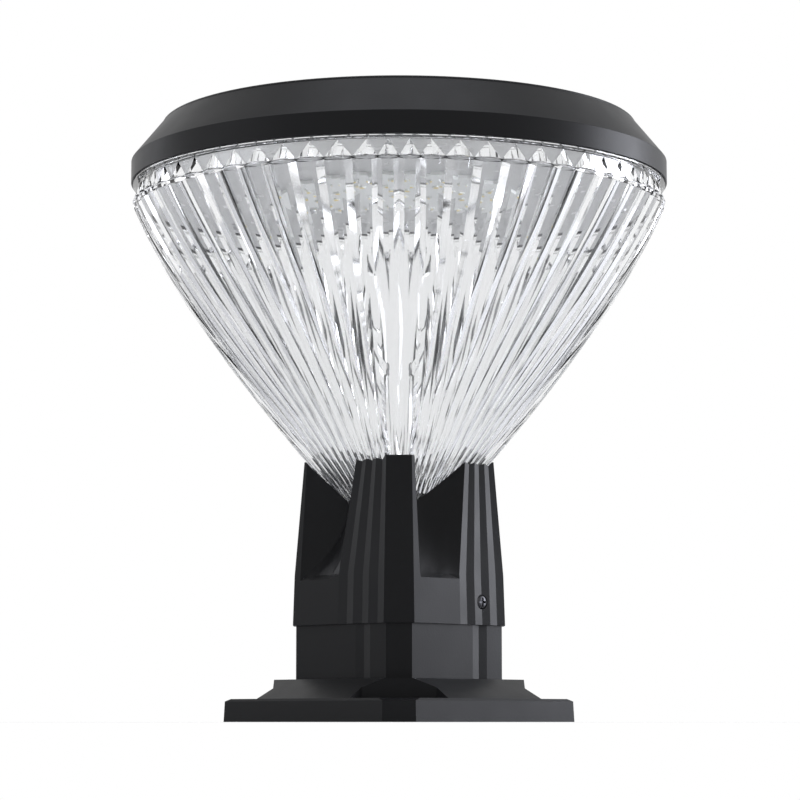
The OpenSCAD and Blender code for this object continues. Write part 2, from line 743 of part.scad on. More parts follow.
module post_places() {
  for (turn = [0:60:300]) rotate(turn) translate([post_at, 0, tray_z]) children();
}
module board_places() {
  for (x = [-1, 1], y = [-1, 1])
    translate([x * (board_l / 2 - 4), board_y + y * (board_w / 2 - 4), tray_z]) children();
}
module led_screw_places() {
  for (turn = [0, 180, 270])
    rotate(turn) translate([led_board_d / 2 - 5, 0, shoulder_z - led_board_t]) children();
}

module lamp_tray() {
  color([0.93, 0.93, 0.92])
  difference() {
    union() {
      translate([0, 0, shoulder_z]) cylinder(r = tray_r, h = tray_t);
      board_places() cylinder(d = tray_post_d, h = board_stand);
      led_screw_places() translate([0, 0, led_board_t + over]) cylinder(d = tray_post_d, h = tray_t + 2.5);
    }
    post_places() translate([0, 0, -tray_t - over])
      cylinder(d = small_screw_d + 2 * screw_fit, h = tray_t + 2 * over);
    board_places() translate([0, 0, 0.5])
      cylinder(d = small_screw_d + 2 * thread_fit, h = board_stand + over);
    led_screw_places() translate([0, 0, -over]) cylinder(d = small_screw_d + 2 * thread_fit, h = 7 + over);
    strap_screw_places() translate([0, 0, -tray_t - over])
      cylinder(d = small_screw_d + 2 * thread_fit, h = tray_t + 2 * over);
    translate([0, 0, shoulder_z - over]) cylinder(d = lead_d + 2, h = tray_t + 2 * over);
  }
}

module tray_screws() {
  color([0.7, 0.7, 0.7])
  post_places() translate([0, 0, -tray_t]) mirror([0, 0, 1])
    screw(small_screw_d, tray_t + 8, small_head_d, small_head_h);
}

module led_board() {
  color([0.93, 0.94, 0.9])
  difference() {
    translate([0, 0, shoulder_z - led_board_t]) cylinder(d = led_board_d, h = led_board_t);
    led_screw_places() translate([0, 0, -over])
      cylinder(d = small_screw_d + 2 * screw_fit, h = led_board_t + 2 * over);
  }
}

module led_ring(count, radius, first) {
  led_h = 0.8;
  for (i = [0:count - 1])
    rotate(first + 360 * i / count)
      translate([radius - led_w / 2, -led_w / 2, shoulder_z - led_board_t - led_h])
        cube([led_w, led_w, led_h]);
}

led_outer_r = led_board_d / 2 - led_inset;

module leds() {
  color([0.95, 0.85, 0.35]) {
    led_ring(led_inner_count, led_outer_r - led_ring_gap, 180 / led_inner_count);
    led_ring(led_outer_count, led_outer_r, 0);
  }
}

module led_board_screws() {
  color([0.7, 0.7, 0.7])
  led_screw_places() mirror([0, 0, 1])
    screw(small_screw_d, led_board_t + tray_t + 3, small_head_d, small_head_h);
}

// Battery cells side by side in a cradle, under a strap
cell_floor = 0.6;
cell_mid_z = tray_z + cell_floor + inner_fit + cell_d / 2;
cell_pitch = cell_d + 1;
holder_l = cell_l + 6;
holder_w = 2 * cell_pitch + 4;
holder_h = 8;
strap_w = 12;
strap_t = 0.8;
strap_foot = 9;
// The strap's feet are thicker than the strap by this much
strap_pad = 0.5;

module cell_places() {
  for (side = [-0.5, 0.5])
    translate([0, battery_y + side * cell_pitch, cell_mid_z]) rotate([0, 90, 0]) children();
}
module strap_screw_places() {
  reach = holder_w / 2 + inner_fit + strap_t + strap_foot / 2;
  for (side = [-1, 1]) translate([0, battery_y + side * reach, tray_z]) children();
}

module battery_holder() {
  color([0.15, 0.15, 0.16])
  difference() {
    translate([-holder_l / 2, battery_y - holder_w / 2, tray_z]) cube([holder_l, holder_w, holder_h]);
    cell_places() cylinder(r = cell_d / 2 + inner_fit, h = cell_l + 2 * inner_fit, center = true);
  }
}

module battery_cells() {
  color([0.2, 0.45, 0.3])
  cell_places() {
    cylinder(d = cell_d, h = cell_l - 2, center = true);
    cylinder(d = cell_d - 2, h = cell_l, center = true);
  }
}

module battery_strap() {
  top_z = cell_mid_z + cell_d / 2 + inner_fit;
  half = holder_w / 2 + inner_fit;
  color([0.85, 0.85, 0.83])
  difference() {
    translate([-strap_w / 2, battery_y, tray_z]) {
      translate([0, -half - strap_t, top_z - tray_z]) cube([strap_w, 2 * (half + strap_t), strap_t]);
      for (side = [0, 1]) mirror([0, side, 0]) {
        translate([0, half, 0]) cube([strap_w, strap_t, top_z - tray_z]);
        translate([0, half, 0]) cube([strap_w, strap_t + strap_foot, strap_t + strap_pad]);
      }
    }
    strap_screw_places() translate([0, 0, -over]) cylinder(d = small_screw_d + 2 * screw_fit, h = 4);
  }
}

module strap_screws() {
  color([0.7, 0.7, 0.7])
  strap_screw_places() translate([0, 0, strap_t + strap_pad])
    screw(small_screw_d, strap_t + strap_pad + 1.8, small_head_d, small_head_h);
}

// Control board on its posts
board_z = tray_z + board_stand;
board_top_z = board_z + board_t;

module control_board() {
  color([0.1, 0.35, 0.2])
  difference() {
    translate([-board_l / 2, board_y - board_w / 2, board_z]) cube([board_l, board_w, board_t]);
    board_places() cylinder(d = small_screw_d + 2 * screw_fit, h = board_stand + board_t + over);
  }
}

// Sockets of the leads: the one for the panel, the battery, the lamps and the switch
socket_l = 7;
socket_w = 5;
socket_h = 6;
panel_socket = [panel_lead_x, board_y + board_w / 2 - socket_w / 2 - 1];
battery_socket = [board_l / 2 - 16, board_y + board_w / 2 - socket_w / 2 - 1];
led_socket = [-14, board_y + board_w / 2 - socket_w / 2 - 1];
switch_socket = [0, board_y - board_w / 2 + socket_w / 2 + 1];

module board_parts() {
  color([0.15, 0.15, 0.16]) translate([0, 0, board_top_z]) {
    for (p = [panel_socket, battery_socket, led_socket, switch_socket])
      translate([p[0] - socket_l / 2, p[1] - socket_w / 2, 0]) cube([socket_l, socket_w, socket_h]);
    translate([-6, board_y - 5, 0]) cube([10, 7.6, 1.6]);
    translate([-24, board_y - 7, 0]) cube([5, 6.2, 1.5]);
    translate([-22, board_y + 5, 0]) cylinder(d = 6.3, h = 8);
    translate([12, board_y - 6, 0]) cube([8, 8, 4.5]);
    translate([24, board_y - 3, 0]) cylinder(d = 5, h = 7);
    for (x = [-14, -11, 22, 25]) translate([x, board_y - 12, 0]) cube([1.6, 3.2, 0.8]);
  }
}

module board_screws() {
  color([0.7, 0.7, 0.7])
  board_places() translate([0, 0, board_stand + board_t])
    screw(small_screw_d, board_t + 3.3, small_head_d, small_head_h);
}

// Push switch in its well on the deck
well_d = flange_d + 2;
seal_t = 0.5;
flange_z = cap_z - well_depth + seal_t;
well_under_z = cap_z - well_depth - 3;
nut_t = 2.5;
button_l = 7;

module switch_place() {
  translate([0, -switch_at, flange_z]) children();
}

module switch_body() {
  color([0.25, 0.25, 0.26])
  switch_place() {
    difference() {
      union() {
        cylinder(d = flange_d, h = flange_h);
        translate([0, 0, -barrel_l]) cylinder(d = barrel_d, h = barrel_l + flange_h / 2);
      }
      translate([0, 0, flange_h - button_l - button_travel - button_fit])
        cylinder(d = button_d + 2 * button_fit, h = button_l + button_travel + 2 * over);
    }
    for (x = [-3, 3]) translate([x - 1.2, -0.4, -barrel_l - 4]) cube([2.4, 0.8, 4.2]);
  }
}

module switch_seal() {
  color([0.06, 0.06, 0.06])
  translate([0, -switch_at, flange_z - seal_t])
    difference() {
      cylinder(d = flange_d - 0.4, h = seal_t);
      translate([0, 0, -over]) cylinder(d = barrel_d + inner_fit, h = seal_t + 2 * over);
    }
}

module switch_nut() {
  color([0.65, 0.65, 0.66])
  translate([0, -switch_at, well_under_z - nut_t])
    difference() {
      cylinder(d = barrel_d + 5, h = nut_t, $fn = 6);
      translate([0, 0, -over]) cylinder(d = barrel_d + inner_fit, h = nut_t + 2 * over);
    }
}

module switch_button() {
  round_r = 0.5;
  top = cap_z - flange_z;
  bottom = flange_h - button_l;
  color([0.35, 0.36, 0.37])
  switch_place() rotate_extrude()
    polygon(concat([[0, bottom], [button_d / 2, bottom]],
      [for (a = [0:30:90]) [button_d / 2 - round_r + round_r * cos(a), top - round_r + round_r * sin(a)]],
      [[0, top]]));
}

// Inner leads: each a tube swept along a smooth curve from one end to the other
function bend(a, b, c, d, u) =
  let (v = 1 - u) v * v * v * a + 3 * v * v * u * b + 3 * v * u * u * c + u * u * u * d;
function slope_of(a, b, c, d, u) =
  let (v = 1 - u) v * v * (b - a) + 2 * v * u * (c - b) + u * u * (d - c);

module lead(from, from_way, to, to_way) {
  // The frame of the rings is taken from one direction that no lead runs along
  aside = [0.83, 0.21, 0.5];
  rings = [for (i = [0:lead_rings])
    let (u = i / lead_rings,
      p = bend(from, from + from_way, to + to_way, to, u),
      way = slope_of(from, from + from_way, to + to_way, to, u),
      across = cross(aside, way) / norm(cross(aside, way)),
      up = cross(way, across) / norm(cross(way, across)))
    [for (j = [0:lead_sides - 1]) let (a = 360 * j / lead_sides)
      p + (across * cos(a) + up * sin(a)) * lead_d / 2]];
  skin(rings);
}

function socket_top(p) = [p[0], p[1], board_top_z + socket_h];

module panel_lead() {
  color([0.1, 0.1, 0.1])
  lead([panel_lead_x, 0, recess_z], [0, 0, -12], socket_top(panel_socket), [0, 0, 8]);
}
module battery_lead() {
  color([0.6, 0.1, 0.1])
  lead([cell_l / 2 + inner_fit, battery_y - cell_pitch / 2, cell_mid_z], [16, 0, 0],
    socket_top(battery_socket), [0, 0, 9]);
}
module led_lead() {
  color([0.85, 0.85, 0.85])
  lead([0, 0, shoulder_z], [0, 0, 16], socket_top(led_socket), [0, 0, 8]);
}
module switch_lead() {
  color([0.15, 0.15, 0.15])
  lead([3, -switch_at, flange_z - barrel_l - 4], [0, 0, -3], socket_top(switch_socket), [0, 0, 5]);
}

mounting_base();
housing();
housing_screws();
foot_pad();
foot_screws();
lens();
lens_seal();
cap_shell();
solar_glass();
solar_cells();
panel_backboard();
panel_seal();
lamp_tray();
tray_screws();
led_board();
leds();
led_board_screws();
battery_holder();
battery_cells();
battery_strap();
strap_screws();
control_board();
board_parts();
board_screws();
switch_body();
switch_seal();
switch_nut();
switch_button();
panel_lead();
battery_lead();
led_lead();
switch_lead();
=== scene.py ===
"""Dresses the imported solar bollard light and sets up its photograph.

Lengths are in millimetres in the sub-assemblies' fields, and in metres in the finishes' and the
studio's.
"""

import json
import logging
import math
from collections.abc import Sequence
from dataclasses import dataclass
from enum import Enum

import bmesh
import bpy
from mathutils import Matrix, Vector


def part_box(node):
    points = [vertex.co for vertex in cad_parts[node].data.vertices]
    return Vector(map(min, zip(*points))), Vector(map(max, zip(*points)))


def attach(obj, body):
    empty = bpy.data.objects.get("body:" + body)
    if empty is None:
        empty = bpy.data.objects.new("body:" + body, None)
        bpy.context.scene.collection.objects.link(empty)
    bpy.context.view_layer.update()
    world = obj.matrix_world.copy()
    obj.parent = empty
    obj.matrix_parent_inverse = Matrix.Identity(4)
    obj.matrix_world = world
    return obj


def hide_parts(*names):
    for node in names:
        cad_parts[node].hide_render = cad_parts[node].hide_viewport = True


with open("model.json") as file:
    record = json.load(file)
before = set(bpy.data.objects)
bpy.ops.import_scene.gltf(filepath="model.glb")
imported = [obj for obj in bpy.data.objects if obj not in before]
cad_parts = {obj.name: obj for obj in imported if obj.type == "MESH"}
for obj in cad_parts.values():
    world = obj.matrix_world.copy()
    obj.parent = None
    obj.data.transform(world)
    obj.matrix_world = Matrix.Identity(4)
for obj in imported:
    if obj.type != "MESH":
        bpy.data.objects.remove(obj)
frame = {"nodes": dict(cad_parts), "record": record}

Colour = tuple[float, float, float]
Point = tuple[float, float, float]
Outline = Sequence[tuple[float, float]]
Piece = bpy.types.Object
Socket = bpy.types.NodeSocket
RECORD = frame["record"]
NODES: dict[str, Piece] = frame["nodes"]
BODY_OF: dict[str, str] = {
    node: body for body, nodes in RECORD["behaviour"]["bodies"].items() for node in nodes
}
SLOT_OF: dict[str, str] = {part["node"]: part["material_slot"] for part in RECORD["subparts"]}
LOG = logging.getLogger("bollard")
MM = 0.001
SAME_SPOT = 1e-6
FLAT_DEGREES = 0.2
UP: Point = (0.0, 0.0, 1.0)
DOWN: Point = (0.0, 0.0, -1.0)
RIGHT: Point = (1.0, 0.0, 0.0)
LEFT: Point = (-1.0, 0.0, 0.0)
QUARTER_TURN = math.pi / 2


# Node trees


class Graph:
    """A node tree with short ways to add and join nodes."""

    # A Mix node's share and two colours, and its mixed colour, by place among its sockets.
    MIX_INPUTS = (0, 6, 7)
    MIX_RESULT = 2

    def __init__(self, tree: bpy.types.NodeTree) -> None:
        """Wraps a node tree.

        Args:
            tree: The tree that the nodes go into.
        """
        self.tree = tree

    def add(self, kind: str, **settings: object) -> bpy.types.Node:
        """Adds a node.

        Args:
            kind: Blender's name of the node's type.
            **settings: Properties of the node, or sockets by name with spaces as underscores.

        Returns:
            The new node.
        """
        node = self.tree.nodes.new(kind)
        for name, value in settings.items():
            if hasattr(node, name):
                setattr(node, name, value)
            else:
                self.put(node.inputs[name.replace("_", " ")], value)
        return node

    def put(self, socket: Socket, value: object) -> None:
        """Sets a socket's value, or joins another socket to it.

        Args:
            socket: The input.
            value: A number, a tuple or an output socket.
        """
        if isinstance(value, Socket):
            self.tree.links.new(value, socket)
        else:
            socket.default_value = value

    def math(
        self, operation: str, a: object, b: object = 0.0, c: object = 0.0
    ) -> Socket:
        """Adds an operation on numbers.

        Args:
            operation: Blender's name of the operation.
            a: First number or socket.
            b: Second number or socket.
            c: Third number or socket.

        Returns:
            The output socket.
        """
        node = self.tree.nodes.new("ShaderNodeMath")
        node.operation = operation
        for socket, value in zip(node.inputs, (a, b, c)):
            self.put(socket, value)
        return node.outputs[0]

    def vector(self, operation: str, a: object, b: object = (0.0, 0.0, 0.0)) -> bpy.types.Node:
        """Adds an operation on vectors.

        Args:
            operation: Blender's name of the operation.
            a: First vector or socket.
            b: Second vector or socket.

        Returns:
            The node.
        """
        node = self.tree.nodes.new("ShaderNodeVectorMath")
        node.operation = operation
        self.put(node.inputs[0], a)
        self.put(node.inputs[1], b)
        return node

    def pick(self, share: object, first: object, second: object) -> Socket:
        """Mixes two colours.

        Args:
            share: Share of the second colour, a number or a socket.
            first: First colour, four numbers or a socket.
            second: Second colour, four numbers or a socket.

        Returns:
            The mixed colour.
        """
        node = self.add("ShaderNodeMix", data_type="RGBA")
        for index, value in zip(self.MIX_INPUTS, (share, first, second)):
            self.put(node.inputs[index], value)
        return node.outputs[self.MIX_RESULT]


class Rule(Graph):
    """A Geometry Nodes tree with named inputs, which makes what repeats or follows a rule."""

    KINDS = {
        float: "NodeSocketFloat",
        int: "NodeSocketInt",
        tuple: "NodeSocketVector",
        Piece: "NodeSocketObject",
        bpy.types.Material: "NodeSocketMaterial",
    }
    WELD = 1e-7

    def __init__(self, name: str, **sizes: object) -> None:
        """Starts a tree.

        Args:
            name: The tree's name.
            **sizes: Values of its named inputs.
        """
        super().__init__(bpy.data.node_groups.new(name, "GeometryNodeTree"))
        face = self.tree.interface
        face.new_socket(name="Geometry", in_out="INPUT", socket_type="NodeSocketGeometry")
        face.new_socket(name="Geometry", in_out="OUTPUT", socket_type="NodeSocketGeometry")
        self.sizes = sizes
        for key, value in sizes.items():
            face.new_socket(name=key, in_out="INPUT", socket_type=self.KINDS[type(value)])
        self.given = self.tree.nodes.new("NodeGroupInput").outputs
        self.result = self.tree.nodes.new("NodeGroupOutput").inputs[0]

    def attribute(self, name: str, kind: str = "FLOAT") -> Socket:
        """Reads a named attribute of the geometry."""
        node = self.add("GeometryNodeInputNamedAttribute", data_type=kind, Name=name)
        return node.outputs["Attribute"]

    def run(self, piece: Piece, geometry: Socket) -> Piece:
        """Ends the tree in Realize Instances and Set Material, and runs it once on a piece.

        Args:
            piece: The piece whose mesh goes in. It carries the material.
            geometry: The output that holds the result.

        Returns:
            The piece, with the result as its plain mesh.
        """
        real = self.add("GeometryNodeRealizeInstances", Geometry=geometry)
        whole = self.add(
            "GeometryNodeMergeByDistance", Geometry=real.outputs[0], Distance=self.WELD
        )
        paint = self.add(
            "GeometryNodeSetMaterial", Geometry=whole.outputs[0], Material=self.given["material"]
        )
        self.put(self.result, paint.outputs[0])
        modifier = piece.modifiers.new(self.tree.name, "NODES")
        modifier.node_group = self.tree
        for item in self.tree.interface.items_tree:
            if item.in_out == "INPUT" and item.name in self.sizes:
                modifier[item.identifier] = self.sizes[item.name]
        return bake(piece)


class Shader(Graph):
    """The node tree of one material, with its surface shader."""

    NOISE_LOW, NOISE_HIGH = 0.3, 0.7

    def __init__(
        self, name: str, colour: Colour, roughness: float, metallic: float = 0.0
    ) -> None:
        """Starts a material.

        Args:
            name: The material's name.
            colour: Its base colour, linear.
            roughness: Its roughness.
            metallic: 1 for a bare metal.
        """
        self.material = bpy.data.materials.new(name)
        self.material.use_nodes = True
        super().__init__(self.material.node_tree)
        self.surface = self.tree.nodes["Principled BSDF"]
        self.set("Base Color", (*colour, 1.0))
        self.set("Roughness", roughness)
        self.set("Metallic", metallic)
        self.place = self.add("ShaderNodeTexCoord").outputs["Object"]

    def set(self, socket: str, value: object) -> None:
        """Sets or joins one of the surface shader's sockets."""
        self.put(self.surface.inputs[socket], value)

    def noise(self, size: float, detail: float = 2.0) -> Socket:
        """A noise pattern whose blotches are about that size in metres."""
        node = self.add("ShaderNodeTexNoise", Vector=self.place, Scale=1.0 / size, Detail=detail)
        return node.outputs["Fac"]

    def bump(self, height: Socket, depth: float) -> None:
        """Roughens the surface by a pattern of that depth in metres."""
        node = self.add("ShaderNodeBump", Height=height, Distance=depth)
        self.set("Normal", node.outputs["Normal"])

    def run(self, pattern: Socket, low: float, high: float) -> Socket:
        """Lets a value run between two others with a noise pattern.

        Args:
            pattern: The noise.
            low: The lowest value.
            high: The highest value.

        Returns:
            The value.
        """
        node = self.add("ShaderNodeMapRange", Value=pattern, To_Min=low, To_Max=high)
        node.inputs["From Min"].default_value = self.NOISE_LOW
        node.inputs["From Max"].default_value = self.NOISE_HIGH
        return node.outputs["Result"]


# Finishes


@dataclass(frozen=True)
class Moulded:
    """A moulded plastic or rubber with a fine grain."""

    name: str
    colour: Colour
    roughness: float
    grain: float = 0.0
    gloss: float = 0.5
    grain_size: float = 0.0008
    blotch: float = 0.02
    spread: float = 0.03

    def build(self) -> bpy.types.Material:
        """Builds the material.

        Returns:
            The material.
        """
        shader = Shader(self.name, self.colour, self.roughness)
        low, high = self.roughness - self.spread, self.roughness + self.spread
        shader.set("Roughness", shader.run(shader.noise(self.blotch), low, high))
        shader.set("Specular IOR Level", self.gloss)
        if self.grain:
            shader.bump(shader.noise(self.grain_size, 3.0), self.grain)
        return shader.material


@dataclass(frozen=True)
class Clear:
    """A clear plastic or glass, satin where the piece's attribute "satin" is 1."""

    name: str
    colour: Colour
    bends: float
    satin: float = 0.0

    def build(self) -> bpy.types.Material:
        """Builds the material.

        Returns:
            The material.
        """
        shader = Shader(self.name, self.colour, 0.0)
        shader.set("Transmission Weight", 1.0)
        shader.set("IOR", self.bends)
        if self.satin:
            share = shader.add("ShaderNodeAttribute", attribute_name="satin").outputs["Fac"]
            shader.set("Roughness", shader.math("MULTIPLY", share, self.satin))
        return shader.material


@dataclass(frozen=True)
class Metal:
    """A bare or blackened metal with faint turning marks."""

    name: str
    colour: Colour
    roughness: float
    blotch: float = 0.0015
    spread: float = 0.06
    turning: float = 0.0003
    turning_depth: float = 0.000004

    def build(self) -> bpy.types.Material:
        """Builds the material.

        Returns:
            The material.
        """
        shader = Shader(self.name, self.colour, self.roughness, 1.0)
        low, high = self.roughness - self.spread, self.roughness + self.spread
        shader.set("Roughness", shader.run(shader.noise(self.blotch), low, high))
        shader.bump(shader.noise(self.turning, 1.0), self.turning_depth)
        return shader.material


@dataclass(frozen=True)
class Marked:
    """A finish with a second one wherever the piece's attribute "mark" is 1."""

    name: str
    colour: Colour
    roughness: float
    mark: Colour
    mark_roughness: float
    mark_metallic: float = 0.0
    patches: float = 0.0
    patch_shade: float = 0.6

    def build(self) -> bpy.types.Material:
        """Builds the material.

        Returns:
            The material.
        """
        shader = Shader(self.name, self.colour, self.roughness)
        share = shader.add("ShaderNodeAttribute", attribute_name="mark").outputs["Fac"]
        ground: object = (*self.colour, 1.0)
        if self.patches:
            darker = (*(c * self.patch_shade for c in self.colour), 1.0)
            blotches = shader.run(shader.noise(self.patches, 1.0), 0.0, 1.0)
            ground = shader.pick(blotches, ground, darker)
        shader.set("Base Color", shader.pick(share, ground, (*self.mark, 1.0)))
        shader.set("Metallic", shader.math("MULTIPLY", share, self.mark_metallic))
        change = self.mark_roughness - self.roughness
        shader.set("Roughness", shader.math("MULTIPLY_ADD", share, change, self.roughness))
        return shader.material


@dataclass(frozen=True)
class Board:
    """A coated circuit board with copper tracks under the coating."""

    name: str
    colour: Colour
    track: Colour
    pitch: float
    roughness: float = 0.35
    gap: float = 0.08
    coating: float = 0.00003

    def build(self) -> bpy.types.Material:
        """Builds the material.

        Returns:
            The material.
        """
        shader = Shader(self.name, self.colour, self.roughness)
        tracks = shader.add("ShaderNodeTexBrick", Vector=shader.place, Scale=1.0 / self.pitch)
        tracks.inputs["Mortar Size"].default_value = self.gap
        tracks.offset_frequency, tracks.squash_frequency, tracks.squash = 3, 2, 2.4
        share = tracks.outputs["Fac"]
        shader.set("Base Color", shader.pick(share, (*self.colour, 1.0), (*self.track, 1.0)))
        shader.bump(share, self.coating)
        return shader.material


BUILT: dict[str, bpy.types.Material] = {}


class Finish(Enum):
    """The finishes of the light, each under its slot in the record."""

    satin_black_plastic = Moulded(
        "satin_black_plastic", (0.0088, 0.0091, 0.0102), 0.4, grain=0.00003, gloss=0.12
    )
    dark_screw = Metal("dark_screw", (0.05, 0.05, 0.055), 0.35)
    black_rubber = Moulded("black_rubber", (0.02, 0.02, 0.02), 0.75, 0.00004)
    steel_screw = Metal("steel_screw", (0.6, 0.6, 0.6), 0.3)
    clear_lens = Clear("clear_lens", (0.92, 0.925, 0.93), 1.5, 0.04)
    grey_sealant = Moulded("grey_sealant", (0.6, 0.6, 0.58), 0.6)
    panel_glass = Clear("panel_glass", (0.97, 0.98, 1.0), 1.45)
    cell_silicon = Marked(
        "cell_silicon", (0.008, 0.018, 0.1), 0.25, (0.42, 0.44, 0.48), 0.35, 1.0, patches=0.012
    )
    white_board = Moulded("white_board", (0.8, 0.81, 0.78), 0.35)
    white_plastic = Moulded("white_plastic", (0.5, 0.5, 0.49), 0.25)
    led_phosphor = Marked("led_phosphor", (0.78, 0.78, 0.74), 0.4, (0.85, 0.68, 0.16), 0.5)
    inner_black_plastic = Marked(
        "inner_black_plastic", (0.03, 0.03, 0.035), 0.45, (0.6, 0.6, 0.58), 0.3, 1.0
    )
    battery_wrap = Marked("battery_wrap", (0.04, 0.2, 0.11), 0.3, (0.62, 0.62, 0.6), 0.25, 1.0)
    green_board = Board("green_board", (0.02, 0.12, 0.05), (0.05, 0.24, 0.09), 0.011)
    switch_metal = Metal("switch_metal", (0.55, 0.55, 0.56), 0.28)
    button_metal = Metal("button_metal", (0.5, 0.5, 0.51), 0.22)
    black_lead = Moulded("black_lead", (0.02, 0.02, 0.02), 0.45)
    red_lead = Moulded("red_lead", (0.4, 0.03, 0.03), 0.45)
    white_lead = Moulded("white_lead", (0.7, 0.7, 0.7), 0.45)

    def material(self) -> bpy.types.Material:
        """Builds the finish's material the first time it is asked for.

        Returns:
            The material.
        """
        if self.name not in BUILT:
            BUILT[self.name] = self.value.build()
        return BUILT[self.name]


# Meshes


def show(name: str, mesh: bpy.types.Mesh) -> Piece:
    """Puts a mesh into the scene.

    Args:
        name: The new piece's name.
        mesh: Its mesh.

    Returns:
        The new piece.
    """
    mesh.name = name
    piece = bpy.data.objects.new(name, mesh)
    bpy.context.scene.collection.objects.link(piece)
    return piece


def shape(name: str, work: bmesh.types.BMesh) -> Piece:
    """Puts a worked mesh into the scene and frees it.

    Args:
        name: The new piece's name.
        work: The worked mesh.

    Returns:
        The new piece.
    """
    mesh = bpy.data.meshes.new(name)
    work.to_mesh(mesh)
    work.free()
    return show(name, mesh)


def bake(piece: Piece) -> Piece:
    """Makes a piece's modifiers part of its mesh and removes them.

    Args:
        piece: The piece.

    Returns:
        The piece.
    """
    graph = bpy.context.evaluated_depsgraph_get()
    mesh = bpy.data.meshes.new_from_object(piece.evaluated_get(graph))
    old = piece.data
    piece.modifiers.clear()
    piece.data = mesh
    bpy.data.meshes.remove(old)
    mesh.name = piece.name
    return piece


def crisp(piece: Piece, angle: float = 4.5) -> Piece:
    """Shades a piece smooth apart from its sharp edges.

    Args:
        piece: The piece.
        angle: Edges that turn by more than this many degrees are sharp.

    Returns:
        The piece.
    """
    piece.data.shade_smooth()
    piece.data.set_sharp_from_angle(angle=math.radians(angle))
    return piece


def soften(piece: Piece, width: float, angle: float = 25.0, steps: int = 2) -> Piece:
    """Rounds a piece's edges.

    Args:
        piece: The piece.
        width: Width of the rounding in millimetres.
        angle: Edges that turn by more than this many degrees are rounded.
        steps: Facets across a rounded edge.

    Returns:
        The piece.
    """
    soft = piece.modifiers.new("edges", "BEVEL")
    soft.width = width * MM
    soft.segments = steps
    soft.limit_method = "ANGLE"
    soft.angle_limit = math.radians(angle)
    soft.use_clamp_overlap = True
    return crisp(bake(piece))


def dress(piece: Piece, *nodes: str) -> Piece:
    """Gives a piece the finish of the CAD nodes that it stands for, and lets it ride with them.

    Args:
        piece: The finished piece.
        *nodes: The CAD nodes that it replaces.

    Returns:
        The piece.
    """
    slot = SLOT_OF[nodes[0]]
    if not piece.data.materials:
        piece.data.materials.append(Finish[slot].material())
    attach(piece, BODY_OF[nodes[0]])
    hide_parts(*nodes)
    return piece


def solid(node: str, name: str, edge: float, angle: float = 25.0, steps: int = 2) -> Piece:
    """Copies a CAD node's mesh, merges it, rounds its edges and dresses it.

    Args:
        node: The CAD node.
        name: The new piece's name.
        edge: Width of the rounded edges in millimetres.
        angle: Edges that turn by more than this many degrees are rounded.
        steps: Facets across a rounded edge.

    Returns:
        The new piece.
    """
    mesh = NODES[node].data.copy()
    mesh.materials.clear()
    for attribute in [a for a in mesh.attributes if a.name == "custom_normal"]:
        mesh.attributes.remove(attribute)
    work = bmesh.new()
    work.from_mesh(mesh)
    bmesh.ops.remove_doubles(work, verts=work.verts, dist=SAME_SPOT)
    flat = math.radians(FLAT_DEGREES)
    bmesh.ops.dissolve_limit(work, angle_limit=flat, verts=work.verts, edges=work.edges)
    work.to_mesh(mesh)
    work.free()
    return dress(soften(show(name, mesh), edge, angle, steps), node)


def lumps(node: str) -> list[tuple[Vector, Vector]]:
    """Finds the separate solids of a CAD node.

    Args:
        node: The CAD node.

    Returns:
        The lowest and the highest corner of each, in metres.
    """
    work = bmesh.new()
    work.from_mesh(NODES[node].data)
    bmesh.ops.remove_doubles(work, verts=work.verts, dist=SAME_SPOT)
    left = set(work.verts)
    boxes = []
    while left:
        group, frontier = [], [left.pop()]
        while frontier:
            vert = frontier.pop()
            group.append(vert.co.copy())
            for edge in vert.link_edges:
                other = edge.other_vert(vert)
                if other in left:
                    left.remove(other)
                    frontier.append(other)
        ends = (Vector(end(p[k] for p in group) for k in range(3)) for end in (min, max))
        boxes.append(tuple(ends))
    work.free()
    return sorted(boxes, key=lambda box: tuple(round(v, 5) for v in box[0] + box[1]))


def revolve(name: str, profile: Outline, sides: int = 32) -> Piece:
    """Turns a profile about the Z axis into a closed skin.

    Args:
        name: The piece's name.
        profile: Radius and height of each point in millimetres, from the bottom pole to the top.
        sides: Facets round the axis.

    Returns:
        The piece.
    """
    work = bmesh.new()
    rings: list[list[bmesh.types.BMVert]] = []
    for radius, height in profile:
        rings.append([])
        for i in range(sides if radius > 0 else 1):
            a = math.tau * i / sides
            spot = (radius * math.cos(a) * MM, radius * math.sin(a) * MM, height * MM)
            rings[-1].append(work.verts.new(spot))
    for low, high in zip(rings, rings[1:]):
        for i in range(sides):
            j = i + 1
            corners = (
                low[i % len(low)], low[j % len(low)], high[j % len(high)], high[i % len(high)]
            )
            work.faces.new(list(dict.fromkeys(corners)))
    bmesh.ops.recalc_face_normals(work, faces=work.faces)
    return shape(name, work)


def block(name: str, outline: Outline, low: float, high: float) -> Piece:
    """Raises an outline into a solid.

    Args:
        name: The piece's name.
        outline: Its corners in millimetres, anticlockwise.
        low: Height of its underside in millimetres.
        high: Height of its top in millimetres.

    Returns:
        The piece.
    """
    work = bmesh.new()
    floor = [work.verts.new((x * MM, y * MM, low * MM)) for x, y in outline]
    roof = [work.verts.new((x * MM, y * MM, high * MM)) for x, y in outline]
    work.faces.new(floor[::-1])
    work.faces.new(roof)
    for i in range(len(outline)):
        j = (i + 1) % len(outline)
        work.faces.new((floor[i], floor[j], roof[j], roof[i]))
    return shape(name, work)


def mark(piece: Piece, value: float = 1.0) -> Piece:
    """Marks a piece's faces for its finish.

    Args:
        piece: The piece.
        value: 1 for the finish's second colour, 0 for its first.

    Returns:
        The piece.
    """
    faces = piece.data.attributes.new("mark", "FLOAT", "FACE").data
    faces.foreach_set("value", [value] * len(faces))
    return piece


